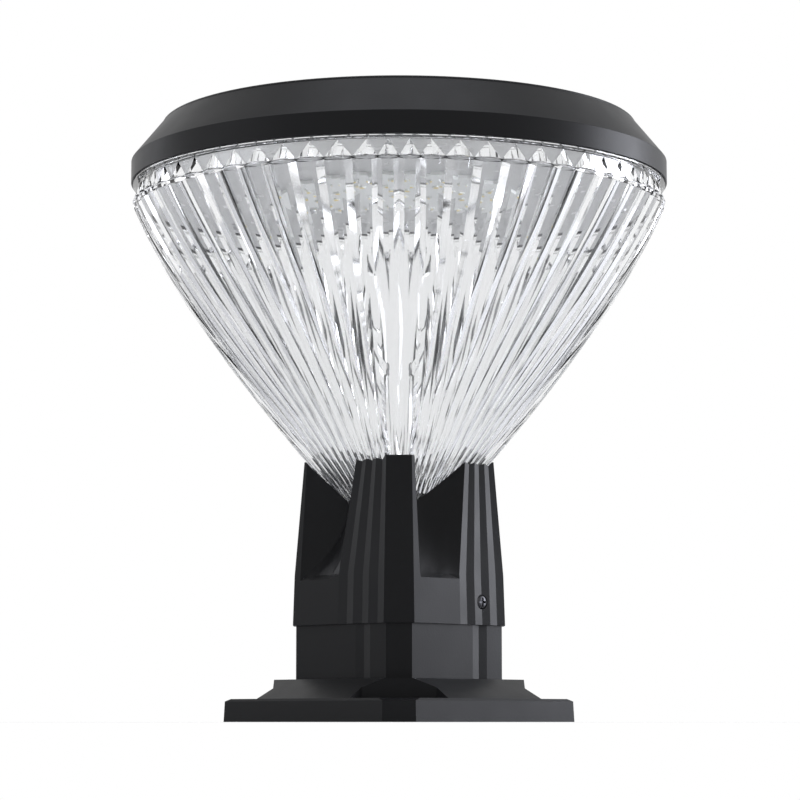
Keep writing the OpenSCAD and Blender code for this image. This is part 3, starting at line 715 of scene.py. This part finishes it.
def middles(boxes: Sequence[tuple[Vector, Vector]]) -> list[Point]:
    """Lists the middle of each box."""
    return [tuple((low + high) / 2) for low, high in boxes]


def scatter(
    name: str,
    pattern: Piece,
    spots: Sequence[Point],
    aim: Point,
    finish: Finish,
    turn: float = 0.0,
) -> Piece:
    """Puts a copy of a pattern at each of some places, by Geometry Nodes.

    Args:
        name: The new piece's name.
        pattern: The piece that is repeated, upright at the origin. It is used up.
        spots: The places in metres.
        aim: The direction that the pattern's top points in.
        finish: The finish of all copies.
        turn: Radians by which each copy is turned further round its own axis than the one before.

    Returns:
        The new piece.
    """
    mesh = bpy.data.meshes.new(name)
    mesh.from_pydata([tuple(s) for s in spots], [], [])
    piece = show(name, mesh)
    rule = Rule(name + "_rule", pattern=pattern, aim=aim, turn=turn, material=finish.material())
    given = rule.given
    source = rule.add("GeometryNodeObjectInfo", Object=given["pattern"])
    order = rule.add("GeometryNodeInputIndex").outputs[0]
    spin = rule.add("ShaderNodeCombineXYZ", Z=rule.math("MULTIPLY", order, given["turn"]))
    start = rule.add("FunctionNodeEulerToRotation", Euler=spin.outputs[0])
    way = rule.add("FunctionNodeAlignRotationToVector", axis="Z", Rotation=start.outputs[0])
    rule.put(way.inputs["Vector"], given["aim"])
    put = rule.add("GeometryNodeInstanceOnPoints", Points=given["Geometry"])
    rule.put(put.inputs["Instance"], source.outputs["Geometry"])
    rule.put(put.inputs["Rotation"], way.outputs[0])
    rule.run(piece, put.outputs[0])
    bpy.data.objects.remove(pattern)
    return piece


def add_bars(
    piece: Piece, finish: Finish, size: Point, first: Point, step: Point, count: int
) -> None:
    """Adds a row of bars to a piece by Geometry Nodes, and marks them.

    Args:
        piece: The piece.
        finish: Its finish.
        size: Size of a bar in millimetres.
        first: Middle of the first bar in millimetres.
        step: Way from each bar to the next in millimetres.
        count: Number of bars.
    """
    size, first, step = (tuple(v * MM for v in point) for point in (size, first, step))
    sizes = {"size": size, "first": first, "step": step, "count": count}
    rule = Rule(piece.name + "_bars", **sizes, material=finish.material())
    given = rule.given
    row = rule.add("GeometryNodeMeshLine", Count=given["count"], Offset=given["step"])
    rule.put(row.inputs["Start Location"], given["first"])
    bar = rule.add("GeometryNodeMeshCube", Size=given["size"])
    put = rule.add(
        "GeometryNodeInstanceOnPoints", Points=row.outputs[0], Instance=bar.outputs[0]
    )
    real = rule.add("GeometryNodeRealizeInstances", Geometry=put.outputs[0])
    named = rule.add("GeometryNodeStoreNamedAttribute", data_type="FLOAT", domain="FACE")
    for socket, value in (("Geometry", real.outputs[0]), ("Name", "mark"), ("Value", 1.0)):
        rule.put(named.inputs[socket], value)
    both = rule.add("GeometryNodeJoinGeometry")
    rule.put(both.inputs[0], given["Geometry"])
    rule.put(both.inputs[0], named.outputs[0])
    rule.run(piece, both.outputs[0])


# Fasteners


@dataclass
class CrossScrews:
    """Pan-head screws with a cross recess, one at each solid of a CAD node, in millimetres."""

    node: str
    aims: tuple[Point, ...] = (UP,)
    head_d: float = 5.4
    head_h: float = 1.8
    shank_d: float = 2.8
    pitch: float = 0.8
    root: float = 0.82
    tip_root: float = 0.5
    tip_bevel: float = 0.1
    tip_l: float = 0.6
    plain_l: float = 1.0
    neck_l: float = 0.2
    crest: tuple[float, float] = (0.4, 0.5)
    head: Outline = (
        *((0.96, 0.0), (1.0, 0.12), (1.0, 0.35), (0.93, 0.6)),
        *((0.8, 0.82), (0.6, 0.95), (0.3, 1.0), (0.0, 1.0)),
    )
    recess_arm: float = 0.33
    recess_half: float = 0.085
    recess_floor: float = 0.25
    cutter_over: float = 1.0
    sharp_angle: float = 28.0
    turn: float = 0.7

    def pattern(self, shank_l: float) -> Piece:
        """Builds one screw, with its head's underside at the origin.

        Args:
            shank_l: Length of the shank in millimetres.

        Returns:
            The screw.
        """
        crest = self.shank_d / 2
        root = crest * self.root
        profile = [(0.0, -shank_l), (root * self.tip_root, -shank_l + self.tip_bevel)]
        for i in range(int((shank_l - self.plain_l) / self.pitch)):
            low = -shank_l + self.tip_l + i * self.pitch
            profile += [(root, low), *((crest, low + self.pitch * share) for share in self.crest)]
        profile += [(root, -self.neck_l), (root, 0.0)]
        profile += [(self.head_d / 2 * wide, self.head_h * tall) for wide, tall in self.head]
        screw = revolve("screw_pattern", profile)
        arm, half = self.head_d * self.recess_arm, self.head_d * self.recess_half
        cross = [(arm, -half), (arm, half), (half, half), (half, arm), (-half, arm), (-half, half)]
        cross += [(-x, -y) for x, y in cross]
        floor, roof = self.recess_floor * self.head_h, self.head_h + self.cutter_over
        recess = block("recess", cross, floor, roof)
        cut = screw.modifiers.new("recess", "BOOLEAN")
        cut.operation, cut.solver, cut.object = "DIFFERENCE", "EXACT", recess
        bake(screw)
        bpy.data.objects.remove(recess)
        return crisp(screw, self.sharp_angle)

    def build(self) -> list[Piece]:
        """Builds the screws of each direction.

        Returns:
            One piece for each direction.
        """
        pieces = []
        boxes = lumps(self.node)
        for n, aim in enumerate(self.aims):
            way = Vector(aim)
            axis = max(range(3), key=lambda k: abs(way[k]))
            alone = len(self.aims) == 1
            share = boxes if alone else [b for b in boxes if (b[0] + b[1]).dot(way) > 0]
            spots = []
            for low, high in share:
                spot = (low + high) / 2
                top = high[axis] if way[axis] > 0 else low[axis]
                spot[axis] = top - way[axis] * self.head_h * MM
                spots.append(tuple(spot))
            shank_l = (share[0][1][axis] - share[0][0][axis]) / MM - self.head_h
            name = self.node if alone else f"{self.node}_{'ab'[n]}"
            finish = Finish[SLOT_OF[self.node]]
            screw = self.pattern(shank_l)
            piece = scatter(name + "_cross_head", screw, spots, aim, finish, self.turn)
            pieces.append(dress(piece, self.node))
        return pieces


# The parts that show


@dataclass
class Foot:
    """The square base with its pockets, neck and spigot."""

    edge: float = 0.4

    def build(self) -> list[Piece]:
        """Returns the dressed base."""
        return [solid("mounting_base", "square_base", self.edge)]


@dataclass
class ArmedHousing:
    """The four-armed housing, its side screws and what holds the bowl's foot in it."""

    edge: float = 0.4
    pad_edge: float = 0.2
    notch_z: float = 64.0
    low_half: float = 38.5
    low_z: float = 66.4
    top_half: float = 34.9
    top_z: float = 119.0
    margin: float = 1.2
    smooth_angle: float = 32.0

    def smooth_notches(self, piece: Piece) -> None:
        """Smooths the scooped walls between the arms, which lie inside the flat sides.

        Args:
            piece: The housing.
        """
        mesh = piece.data
        sharp = mesh.attributes["sharp_edge"].data
        spots = mesh.vertices
        sides: dict[tuple[int, int], list[Vector]] = {}
        for face in mesh.polygons:
            for key in face.edge_keys:
                sides.setdefault(key, []).append(face.normal)
        for edge in mesh.edges:
            spot = (spots[edge.vertices[0]].co + spots[edge.vertices[1]].co) / 2 / MM
            share = (spot.z - self.low_z) / (self.top_z - self.low_z)
            half = self.low_half + (self.top_half - self.low_half) * max(0.0, share)
            inside = max(abs(spot.x), abs(spot.y)) < half - self.margin
            normals = sides[edge.key]
            if inside and spot.z > self.notch_z and len(normals) == 2:
                if normals[0].angle(normals[1], 0.0) < math.radians(self.smooth_angle):
                    sharp[edge.index].value = False

    def build(self) -> list[Piece]:
        """Builds the housing, its pad and its screws.

        Returns:
            The dressed pieces.
        """
        side = CrossScrews("housing_screws", (RIGHT, LEFT), 6.2, 1.6, 3.5, 1.2)
        foot = CrossScrews("foot_screws", (DOWN,))
        shell = solid("housing", "armed_housing", self.edge)
        self.smooth_notches(shell)
        pad = solid("foot_pad", "foot_cushion", self.pad_edge)
        return [shell, pad, *side.build(), *foot.build()]


@dataclass
class SolarCap:
    """The round cap with its sealant and the solar panel in its top."""

    edge: float = 0.4
    fingers: int = 9
    finger_w: float = 0.14
    finger_h: float = 0.02
    finger_sink: float = 0.005
    busbar_w: float = 1.1
    busbar_h: float = 0.03
    busbar_sink: float = 0.006
    busbar_ends: float = 1.0
    corner: float = 1.6

    def cells(self) -> Piece:
        """Builds the solar cells with their silver lines.

        Returns:
            The dressed cells.
        """
        boxes = lumps("solar_cells")
        size = (boxes[0][1] - boxes[0][0]) / MM
        x, y, c, z = size.x / 2, size.y / 2, self.corner, size.z / 2
        outline = [(x, c - y), (x, y - c), (x - c, y), (c - x, y)]
        outline += [(-a, -b) for a, b in outline]
        cell = mark(block("cell_pattern", outline, -z, z), 0.0)
        pitch = 2 * y / (self.fingers + 1)
        finish = Finish.cell_silicon
        finger = (2 * (x - c), self.finger_w, self.finger_h)
        first = (0.0, pitch - y, z - self.finger_sink)
        add_bars(cell, finish, finger, first, (0.0, pitch, 0.0), self.fingers)
        busbar = (self.busbar_w, 2 * y - self.busbar_ends, self.busbar_h)
        add_bars(cell, finish, busbar, (-x / 2, 0.0, z - self.busbar_sink), (x, 0.0, 0.0), 2)
        rows = scatter("solar_cell_rows", cell, middles(boxes), UP, finish)
        return dress(rows, "solar_cells")

    def build(self) -> list[Piece]:
        """Builds the cap, its sealant and its solar panel.

        Returns:
            The dressed pieces.
        """
        return [
            solid("cap_shell", "round_cap", self.edge, steps=3),
            solid("lens_seal", "sealant_ring", 0.3),
            solid("solar_glass", "panel_cover", 0.25),
            self.cells(),
            solid("panel_backboard", "panel_board", 0.15),
            solid("panel_seal", "panel_gasket", 0.15),
        ]


@dataclass(frozen=True)
class Ring:
    """One ring of the bowl's skin: its outline, and its shares of the flutes and the prisms."""

    height: float
    corner: float
    roundness: float = 1.0
    out: float = 0.0
    flutes: float = 0.0
    prisms: float = 0.0


@dataclass
class FlutedBowl:
    """The clear bowl: a loft from a cut-corner square to a circle, with flutes and prisms."""

    foot_z: float = 90.5
    lens_h: float = 157.7
    radius: float = 124.2
    foot_corner: float = 17.9
    foot_lean: float = 0.864
    top_lean: float = 0.43
    squareness: float = 0.822
    square_h: float = 20.0
    side_flutes: int = 13
    corner_angle: float = 6.5
    flute_depth: float = 2.6
    bend: float = 0.06
    flute_foot_depth: float = 0.7
    inner_flutes: float = -0.4
    wall: float = 3.9
    slant: float = 1.3
    floor: float = 6.0
    floor_ring: int = 2
    belt_h: float = 9.3
    groove_h: float = 0.5
    groove_depth: float = 1.5
    groove_step: float = 0.2
    ledge: float = 0.1
    prism_h: float = 7.6
    prism_depth: float = 3.1
    lip_h: float = 1.0
    lip_step: float = 0.3
    tongue_w: float = 2.4
    tongue_h: float = 4.0
    tongue_inset: float = 5.2
    tongue_foot: float = 1.0
    rings: int = 60
    quarters: int = 4
    sharp_angle: float = 4.0

    @property
    def belt_z(self) -> float:
        """Height at which the belt starts."""
        return self.foot_z + self.lens_h - self.belt_h

    def corner(self, z: float) -> float:
        """Finds how far the bowl's corner is from the axis.

        Args:
            z: Height in millimetres.

        Returns:
            Distance in millimetres.
        """
        run = self.belt_z - self.foot_z
        u = (z - self.foot_z) / run
        v = 1 - u
        return (
            v**3 * self.foot_corner
            + 3 * v * v * u * (self.foot_corner + self.foot_lean * run / 3)
            + 3 * v * u * u * (self.radius - self.top_lean * run / 3)
            + u**3 * self.radius
        )

    def roundness(self, z: float) -> float:
        """How far the outline has gone from square to round at a height."""
        low = self.foot_z + self.square_h
        return min(1.0, max(0.0, (z - low) / (self.belt_z - low)))

    def angles(self) -> list[float]:
        """Lists the angles of the valleys and ridges of one quarter, both corners included.

        Returns:
            The angles in degrees.
        """
        ca = self.corner_angle
        step = (90 - 2 * ca) / self.side_flutes
        side = [ca + step * i / 2 for i in range(2 * self.side_flutes + 1)]
        return [0, ca / 3, ca * 2 / 3, *side, 90 - ca * 2 / 3, 90 - ca / 3, 90]

    def columns(self, fine: bool) -> list[tuple[float, float]]:
        """Lists the points of a ring's quarter.

        Args:
            fine: Whether each side of a flute has a bend in its middle.

        Returns:
            Angle of each point and its share of a valley's depth.
        """
        angles = self.angles()
        points = [(angle, 1.0 if i % 2 == 0 else 0.0) for i, angle in enumerate(angles)]
        if fine:
            middles = [((a + b) / 2, self.bend) for a, b in zip(angles, angles[1:])]
            points = sorted(points + middles)
        return points

    def place(self, angle: float, share: float, corner: float, out: float) -> tuple[Vector, Vector]:
        """A point of the outline.

        Args:
            angle: Degrees round the quarter.
            share: 0 for the square outline, 1 for the round one.
            corner: Distance of the corner from the axis in millimetres.
            out: How far the point is moved outwards.

        Returns:
            Its place and its way outwards, with the quarter's first corner on the x axis.
        """
        ca, half = self.corner_angle, self.squareness
        end = math.sqrt(2) - half
        corner_half = half * math.sqrt(2) - 1
        if angle < ca:
            square, way = Vector((1.0, corner_half * angle / ca)), Vector((1.0, 0.0))
        elif angle > 90 - ca:
            square, way = Vector((corner_half * (90 - angle) / ca, 1.0)), Vector((0.0, 1.0))
        else:
            t = end * (1 - 2 * (angle - ca) / (90 - 2 * ca))
            square = Vector((half + t, half - t)) * math.sqrt(0.5)
            way = Vector((1.0, 1.0)).normalized()
        circle = Vector((math.cos(math.radians(angle)), math.sin(math.radians(angle))))
        way = way.lerp(circle, share).normalized()
        return square.lerp(circle, share) * corner + way * out, way

    def levels(self) -> list[Ring]:
        """Lists the rings of the skin, up the outside, over the tongue and down the inside.

        Returns:
            The rings.
        """
        top = self.foot_z + self.lens_h
        wall_r, groove_r = self.radius - self.prism_depth, self.radius - self.groove_depth
        tongue_in = self.radius - self.tongue_inset
        tongue_out = tongue_in + self.tongue_w
        prism_z = self.belt_z + self.groove_h
        rise = self.belt_z - self.foot_z
        heights = [self.foot_z + rise * i / self.rings for i in range(self.rings + 1)]
        sunk = -self.wall * self.slant
        z = self.foot_z + self.floor
        return [
            *(Ring(h, self.corner(h), self.roundness(h), 0.0, 1.0) for h in heights),
            Ring(self.belt_z + self.groove_step, groove_r),
            Ring(prism_z, groove_r),
            Ring(prism_z + self.ledge, self.radius, prisms=1.0),
            Ring(prism_z + self.prism_h, wall_r + self.ledge),
            Ring(top - self.lip_h, wall_r + self.lip_step),
            Ring(top - self.lip_h + self.lip_step, self.radius),
            Ring(top, self.radius),
            Ring(top, tongue_out),
            Ring(top + self.tongue_h, tongue_out),
            Ring(top + self.tongue_h, tongue_in),
            Ring(self.belt_z + self.tongue_foot, self.radius, out=-self.tongue_inset),
            *(
                Ring(h, self.corner(h), self.roundness(h), sunk, self.inner_flutes)
                for h in heights[-1 : self.floor_ring : -1]
            ),
            Ring(z, self.corner(z), 0.0, sunk),
        ]

    def quarter(self) -> Piece:
        """Builds one quarter of the plain skin, with the flutes' rule in its attributes.

        Returns:
            The piece, in which each point knows its way outwards, its height, its shares of a
            flute and a prism, and whether it is satin.
        """
        levels = self.levels()
        points, ways, shares = [], [], []
        rows: list[list[int]] = []
        for ring in levels:
            columns = self.columns(ring.flutes > 0)
            rows.append(list(range(len(points), len(points) + len(columns))))
            up = (ring.height - self.foot_z) / (self.belt_z - self.foot_z)
            for angle, valley in columns:
                spot, way = self.place(angle, ring.roundness, ring.corner, ring.out)
                points.append((spot.x * MM, spot.y * MM, ring.height * MM))
                ways += [way.x, way.y, 0.0]
                satin = float(ring.out < 0)
                shares.append((ring.flutes * valley, ring.prisms * valley, up, satin))
        faces: list[tuple[int, ...]] = []
        for low, high in zip(rows, rows[1:]):
            if len(low) > len(high):
                for j in range(len(high) - 1):
                    a, m, b = low[2 * j : 2 * j + 3]
                    d, c = high[j : j + 2]
                    faces += [(a, m, d), (m, b, c), (m, c, d)]
                continue
            for j in range(len(low) - 1):
                a, b, c, d = low[j], low[j + 1], high[j + 1], high[j]
                faces += [(a, c, d), (a, b, c)] if j % 2 == 0 else [(a, b, d), (d, b, c)]
        for row, ring, top in ((rows[0], levels[0], False), (rows[-1], levels[-1], True)):
            middle = len(points)
            points.append((0.0, 0.0, ring.height * MM))
            ways += [0.0, 0.0, 0.0]
            shares.append((0.0, 0.0, 0.0, float(top)))
            for a, b in zip(row, row[1:]):
                faces.append((a, b, middle) if top else (b, a, middle))
        mesh = bpy.data.meshes.new("bowl_quarter")
        mesh.from_pydata(points, [], faces)
        mesh.attributes.new("way", "FLOAT_VECTOR", "POINT").data.foreach_set("vector", ways)
        for name, values in zip(("flute", "prism", "up", "satin"), zip(*shares)):
            mesh.attributes.new(name, "FLOAT", "POINT").data.foreach_set("value", values)
        return show("fluted_bowl", mesh)

    def build(self) -> list[Piece]:
        """Sinks the flutes and prisms into the quarter and sets four of it round the axis.

        Returns:
            The dressed bowl. It casts no shadow, because light goes through clear material.
        """
        rule = Rule(
            "bowl_flutes",
            foot_depth=self.flute_foot_depth * MM,
            belt_depth=self.flute_depth * MM,
            prism_depth=self.prism_depth * MM,
            quarters=self.quarters,
            material=Finish.clear_lens.material(),
        )
        given = rule.given
        gain = rule.math("SUBTRACT", given["belt_depth"], given["foot_depth"])
        depth = rule.math("MULTIPLY_ADD", gain, rule.attribute("up"), given["foot_depth"])
        depth = rule.math("MULTIPLY", depth, rule.attribute("flute"))
        depth = rule.math("MULTIPLY_ADD", given["prism_depth"], rule.attribute("prism"), depth)
        sink = rule.vector("SCALE", rule.attribute("way", "FLOAT_VECTOR"))
        rule.put(sink.inputs["Scale"], rule.math("MULTIPLY", depth, -1.0))
        fluted = rule.add("GeometryNodeSetPosition", Geometry=given["Geometry"])
        rule.put(fluted.inputs["Offset"], sink.outputs[0])
        spots = rule.add("GeometryNodePoints", Count=given["quarters"])
        order = rule.add("GeometryNodeInputIndex").outputs[0]
        turn = rule.math("MULTIPLY_ADD", order, QUARTER_TURN, QUARTER_TURN / 2)
        spin = rule.add("ShaderNodeCombineXYZ", Z=turn)
        spin = rule.add("FunctionNodeEulerToRotation", Euler=spin.outputs[0])
        put = rule.add(
            "GeometryNodeInstanceOnPoints", Points=spots.outputs[0], Instance=fluted.outputs[0]
        )
        rule.put(put.inputs["Rotation"], spin.outputs[0])
        bowl = rule.run(self.quarter(), put.outputs[0])
        lens = dress(crisp(bowl, self.sharp_angle), "lens")
        lens.visible_shadow = False
        return [lens]


# What the cap holds


@dataclass
class LampTray:
    """The tray that closes the cap, with the lamp board and its emitters under it."""

    emitter_w: float = 3.5
    emitter_h: float = 0.8
    emitter_bevel: float = 0.3
    rim: float = 0.1
    dome_d: float = 2.6
    dome_foot: float = 0.15
    dome_edge: float = 0.05
    dome_flat: float = 0.7
    dome_sides: int = 20

    def emitters(self) -> Piece:
        """Builds the light emitters, each a pale package with a yellow window.

        Returns:
            The dressed emitters.
        """
        h, b, r = self.emitter_h / 2, self.emitter_w / 2, self.dome_d / 2
        k = b - self.emitter_bevel
        outline = [(b, -k), (b, k), (k, b), (-k, b)]
        outline += [(-x, -y) for x, y in outline]
        package = mark(block("emitter_pattern", outline, -h, h - self.rim), 0.0)
        foot, edge = h - self.dome_foot, h - self.dome_edge
        dome = [(0.0, foot), (r, foot), (r, edge), (self.dome_flat * r, h), (0.0, h)]
        window = mark(revolve("window", dome, self.dome_sides))
        finish = Finish.led_phosphor
        rule = Rule("emitter_rule", window=window, material=finish.material())
        source = rule.add("GeometryNodeObjectInfo", Object=rule.given["window"])
        both = rule.add("GeometryNodeJoinGeometry")
        rule.put(both.inputs[0], rule.given["Geometry"])
        rule.put(both.inputs[0], source.outputs["Geometry"])
        rule.run(package, both.outputs[0])
        bpy.data.objects.remove(window)
        spots = middles(lumps("leds"))
        return dress(scatter("light_emitters", package, spots, DOWN, finish), "leds")

    def build(self) -> list[Piece]:
        """Builds the tray, the lamp board and their screws.

        Returns:
            The dressed pieces.
        """
        return [
            solid("lamp_tray", "white_tray", 0.2),
            *CrossScrews("tray_screws", (DOWN,)).build(),
            solid("led_board", "lamp_board", 0.1),
            self.emitters(),
            *CrossScrews("led_board_screws", (DOWN,)).build(),
        ]


@dataclass
class BatteryPack:
    """The two cells in their cradle under a strap."""

    cell_d: float = 18.4
    minus_end: Outline = ((1.6, 0.0), (1.2, 0.3), (0.6, 1.0), (0.0, 1.2))
    plus_groove: Outline = ((0.0, 3.4), (0.7, 3.0), (0.7, 2.4), (0.0, 2.0))
    plus_end: Outline = ((0.0, 1.2), (0.5, 0.9), (1.2, 0.9))
    knob: Outline = ((3.2, 0.9), (2.8, 0.0), (0.0, 0.0))
    bare_l: float = 1.0
    sides: int = 40
    edge: float = 0.15
    edge_angle: float = 40.0
    sharp_angle: float = 30.0

    def cells(self) -> Piece:
        """Builds the wrapped cells with their metal ends.

        Returns:
            The dressed cells.
        """
        boxes = lumps("battery_cells")
        half = (boxes[0][1].x - boxes[0][0].x) / MM / 2
        r = self.cell_d / 2
        profile = [(0.0, -half), *((r - inset, -half + run) for inset, run in self.minus_end)]
        profile += [(r - inset, half - run) for inset, run in self.plus_groove + self.plus_end]
        profile += [(radius, half - run) for radius, run in self.knob]
        cell = mark(revolve("cell_pattern", profile, self.sides), 0.0)
        faces = cell.data.attributes["mark"].data
        for face in cell.data.polygons:
            faces[face.index].value = float(abs(face.center.z) / MM > half - self.bare_l)
        crisp(soften(cell, self.edge, self.edge_angle), self.sharp_angle)
        piece = scatter("wrapped_cells", cell, middles(boxes), RIGHT, Finish.battery_wrap)
        return dress(piece, "battery_cells")

    def build(self) -> list[Piece]:
        """Builds the cradle, the cells, the strap and its screws.

        Returns:
            The dressed pieces.
        """
        return [
            solid("battery_holder", "cell_cradle", 0.4),
            self.cells(),
            solid("battery_strap", "cell_strap", 0.25),
            *CrossScrews("strap_screws").build(),
        ]


@dataclass
class ControlBoard:
    """The charge and lamp control board with its parts."""

    chip_y: float = -5.0
    chip_w: float = 7.6
    pin: Point = (0.5, 1.2, 0.3)
    pins: int = 6
    pin_step: float = 1.6
    pin_x: float = -5.0
    pin_z: float = 0.4
    pin_bite: float = 0.1

    def parts(self) -> Piece:
        """Builds what is soldered on the board, with the pins of the driver chip.

        Returns:
            The dressed parts.
        """
        piece = mark(solid("board_parts", "soldered_parts", 0.2), 0.0)
        low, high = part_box("control_board")
        mid, top = (low[1] + high[1]) / 2 / MM, high[2] / MM
        reach = self.pin[1] / 2
        near = self.chip_y - reach + self.pin_bite
        far = self.chip_y + self.chip_w + reach - self.pin_bite
        step = (self.pin_step, 0.0, 0.0)
        for y in (near, far):
            first = (self.pin_x, mid + y, top + self.pin_z)
            add_bars(piece, Finish.inner_black_plastic, self.pin, first, step, self.pins)
        return piece

    def build(self) -> list[Piece]:
        """Builds the board, its parts and its screws.

        Returns:
            The dressed pieces.
        """
        return [
            solid("control_board", "charge_board", 0.15),
            self.parts(),
            *CrossScrews("board_screws").build(),
        ]


@dataclass
class PushSwitch:
    """The push switch beside the panel: its body, seal, nut and moving button."""

    edge: float = 0.3

    def build(self) -> list[Piece]:
        """Builds the body, the seal, the nut and the button.

        Returns:
            The dressed pieces.
        """
        return [
            solid("switch_body", "switch_barrel", self.edge, steps=3),
            solid("switch_seal", "switch_gasket", 0.1),
            solid("switch_nut", "barrel_nut", 0.25),
            solid("switch_button", "press_button", 0.15, steps=3),
        ]


@dataclass
class InnerLeads:
    """The four leads inside the cap, each a sleeve round its wires."""

    smooth: float = 60.0

    def build(self) -> list[Piece]:
        """Builds the four leads.

        Returns:
            The dressed leads.
        """
        pieces = []
        for node in ("panel_lead", "battery_lead", "led_lead", "switch_lead"):
            lead = solid(node, node + "_sleeve", 0.0)
            pieces.append(crisp(lead, self.smooth))
        return pieces


# The photograph


@dataclass(frozen=True)
class SoftBox:
    """A lamp, placed by degrees to the camera's right, distance from the axis and height."""

    name: str
    aside: float
    away: float
    height: float
    wide: float
    tall: float
    watts: float


@dataclass
class Studio:
    """Floor, light and camera, in metres."""

    azimuth: float = 45.0
    distance: float = 1.3
    focal_px: float = 2817.0
    frame_px: float = 800.0
    base_px: float = 322.0
    aside_px: float = 1.0
    sensor_mm: float = 36.0
    nearest: float = 0.01
    fill: float = 0.4
    white: float = 1.0
    floor_colour: Colour = (0.86, 0.86, 0.86)
    floor_roughness: float = 0.9
    floor_r: float = 0.7
    floor_sides: int = 96
    floor_z: float = -0.0001
    fade: tuple[float, float] = (0.2, 0.62)
    lamp_colour: Colour = (0.95, 0.97, 1.06)
    aim: Point = (0.0, 0.0, 0.14)
    lamps: tuple[SoftBox, ...] = (
        SoftBox("left_box", -70.0, 1.5, 0.25, 0.7, 1.2, 2.6),
        SoftBox("right_box", 104.0, 1.5, 0.4, 0.8, 1.1, 26.0),
        SoftBox("back_box", -122.0, 1.5, 0.4, 0.3, 1.2, 2.0),
        SoftBox("top_box", 0.0, 0.15, 1.3, 0.8, 0.8, 4.0),
    )

    def build(self) -> None:
        """Builds the floor, the world, the lamps and the camera."""
        self.floor()
        self.world()
        for box in self.lamps:
            self.lamp(box)
        self.camera()
        bpy.context.scene.view_settings.view_transform = "Standard"

    def way(self, aside: float) -> Vector:
        """The level direction so many degrees to the camera's right of the way back to it."""
        turn = math.radians(self.azimuth - 90.0 + aside)
        return Vector((math.cos(turn), math.sin(turn), 0.0))

    def floor(self) -> None:
        """Builds the pale floor, which fades to white for the camera beyond the shadow."""
        mesh = bpy.data.meshes.new("floor")
        turns = [math.tau * i / self.floor_sides for i in range(self.floor_sides)]
        r = self.floor_r
        rim = [(r * math.cos(turn), r * math.sin(turn), self.floor_z) for turn in turns]
        mesh.from_pydata(rim, [], [tuple(range(self.floor_sides))])
        floor = show("floor", mesh)
        shader = Shader("floor_white", self.floor_colour, self.floor_roughness)
        reach = shader.vector("LENGTH", shader.place).outputs["Value"]
        fade = shader.add("ShaderNodeMapRange", Value=reach)
        for name, value in zip(("From Min", "From Max"), self.fade):
            fade.inputs[name].default_value = value
        white = shader.add("ShaderNodeEmission", Strength=self.white)
        camera = shader.add("ShaderNodeLightPath").outputs["Is Camera Ray"]
        mix = shader.add("ShaderNodeMixShader")
        shader.put(mix.inputs[0], shader.math("MULTIPLY", fade.outputs["Result"], camera))
        shader.put(mix.inputs[1], shader.surface.outputs[0])
        shader.put(mix.inputs[2], white.outputs[0])
        shader.put(shader.tree.nodes["Material Output"].inputs["Surface"], mix.outputs[0])
        mesh.materials.append(shader.material)

    def world(self) -> None:
        """Builds the world.

        The camera sees it white, and so do mirroring and clear pieces. Its light on everything
        else is a plain grey.
        """
        world = bpy.data.worlds.new("room")
        world.use_nodes = True
        bpy.context.scene.world = world
        graph = Graph(world.node_tree)
        ray = graph.add("ShaderNodeLightPath").outputs
        seen = graph.math("MAXIMUM", ray["Is Camera Ray"], ray["Is Glossy Ray"])
        seen = graph.math("MAXIMUM", seen, ray["Is Transmission Ray"])
        grey, white = ((tone, tone, tone, 1.0) for tone in (self.fill, self.white))
        back = graph.tree.nodes["Background"].inputs
        graph.put(back["Color"], graph.pick(seen, grey, white))
        back["Strength"].default_value = 1.0

    def lamp(self, box: SoftBox) -> None:
        """Adds a soft box that faces the light.

        Args:
            box: The soft box.
        """
        data = bpy.data.lights.new(box.name, "AREA")
        data.shape = "RECTANGLE"
        data.size, data.size_y, data.energy = box.wide, box.tall, box.watts
        data.color = self.lamp_colour
        lamp = bpy.data.objects.new(box.name, data)
        lamp.location = self.way(box.aside) * box.away + Vector((0, 0, box.height))
        aim = Vector(self.aim) - lamp.location
        lamp.rotation_euler = aim.to_track_quat("-Z", "Y").to_euler()
        bpy.context.scene.collection.objects.link(lamp)

    def camera(self) -> None:
        """Adds the camera at the photograph's angle."""
        data = bpy.data.cameras.new("camera")
        data.sensor_width = self.sensor_mm
        data.lens = self.sensor_mm * self.focal_px / self.frame_px
        data.clip_start = self.nearest
        camera = bpy.data.objects.new("camera", data)
        camera.location = self.way(0.0) * self.distance
        camera.rotation_euler = (
            math.radians(90.0) + math.atan(self.base_px / self.focal_px),
            0.0,
            math.radians(self.azimuth) - math.atan(self.aside_px / self.focal_px),
        )
        bpy.context.scene.collection.objects.link(camera)
        bpy.context.scene.camera = camera


def main() -> None:
    """Builds the pieces in order, dresses what is left and sets up the studio."""
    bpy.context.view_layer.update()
    outside = (Foot(), ArmedHousing(), FlutedBowl(), SolarCap())
    inside = (LampTray(), BatteryPack(), ControlBoard(), PushSwitch(), InnerLeads())
    for assembly in outside + inside:
        name = type(assembly).__name__
        for piece in assembly.build():
            LOG.info("%s: %s, %d faces", name, piece.name, len(piece.data.polygons))
    Studio().build()


if __name__ == "__main__":
    logging.basicConfig(level=logging.INFO, format="%(message)s")
    main()
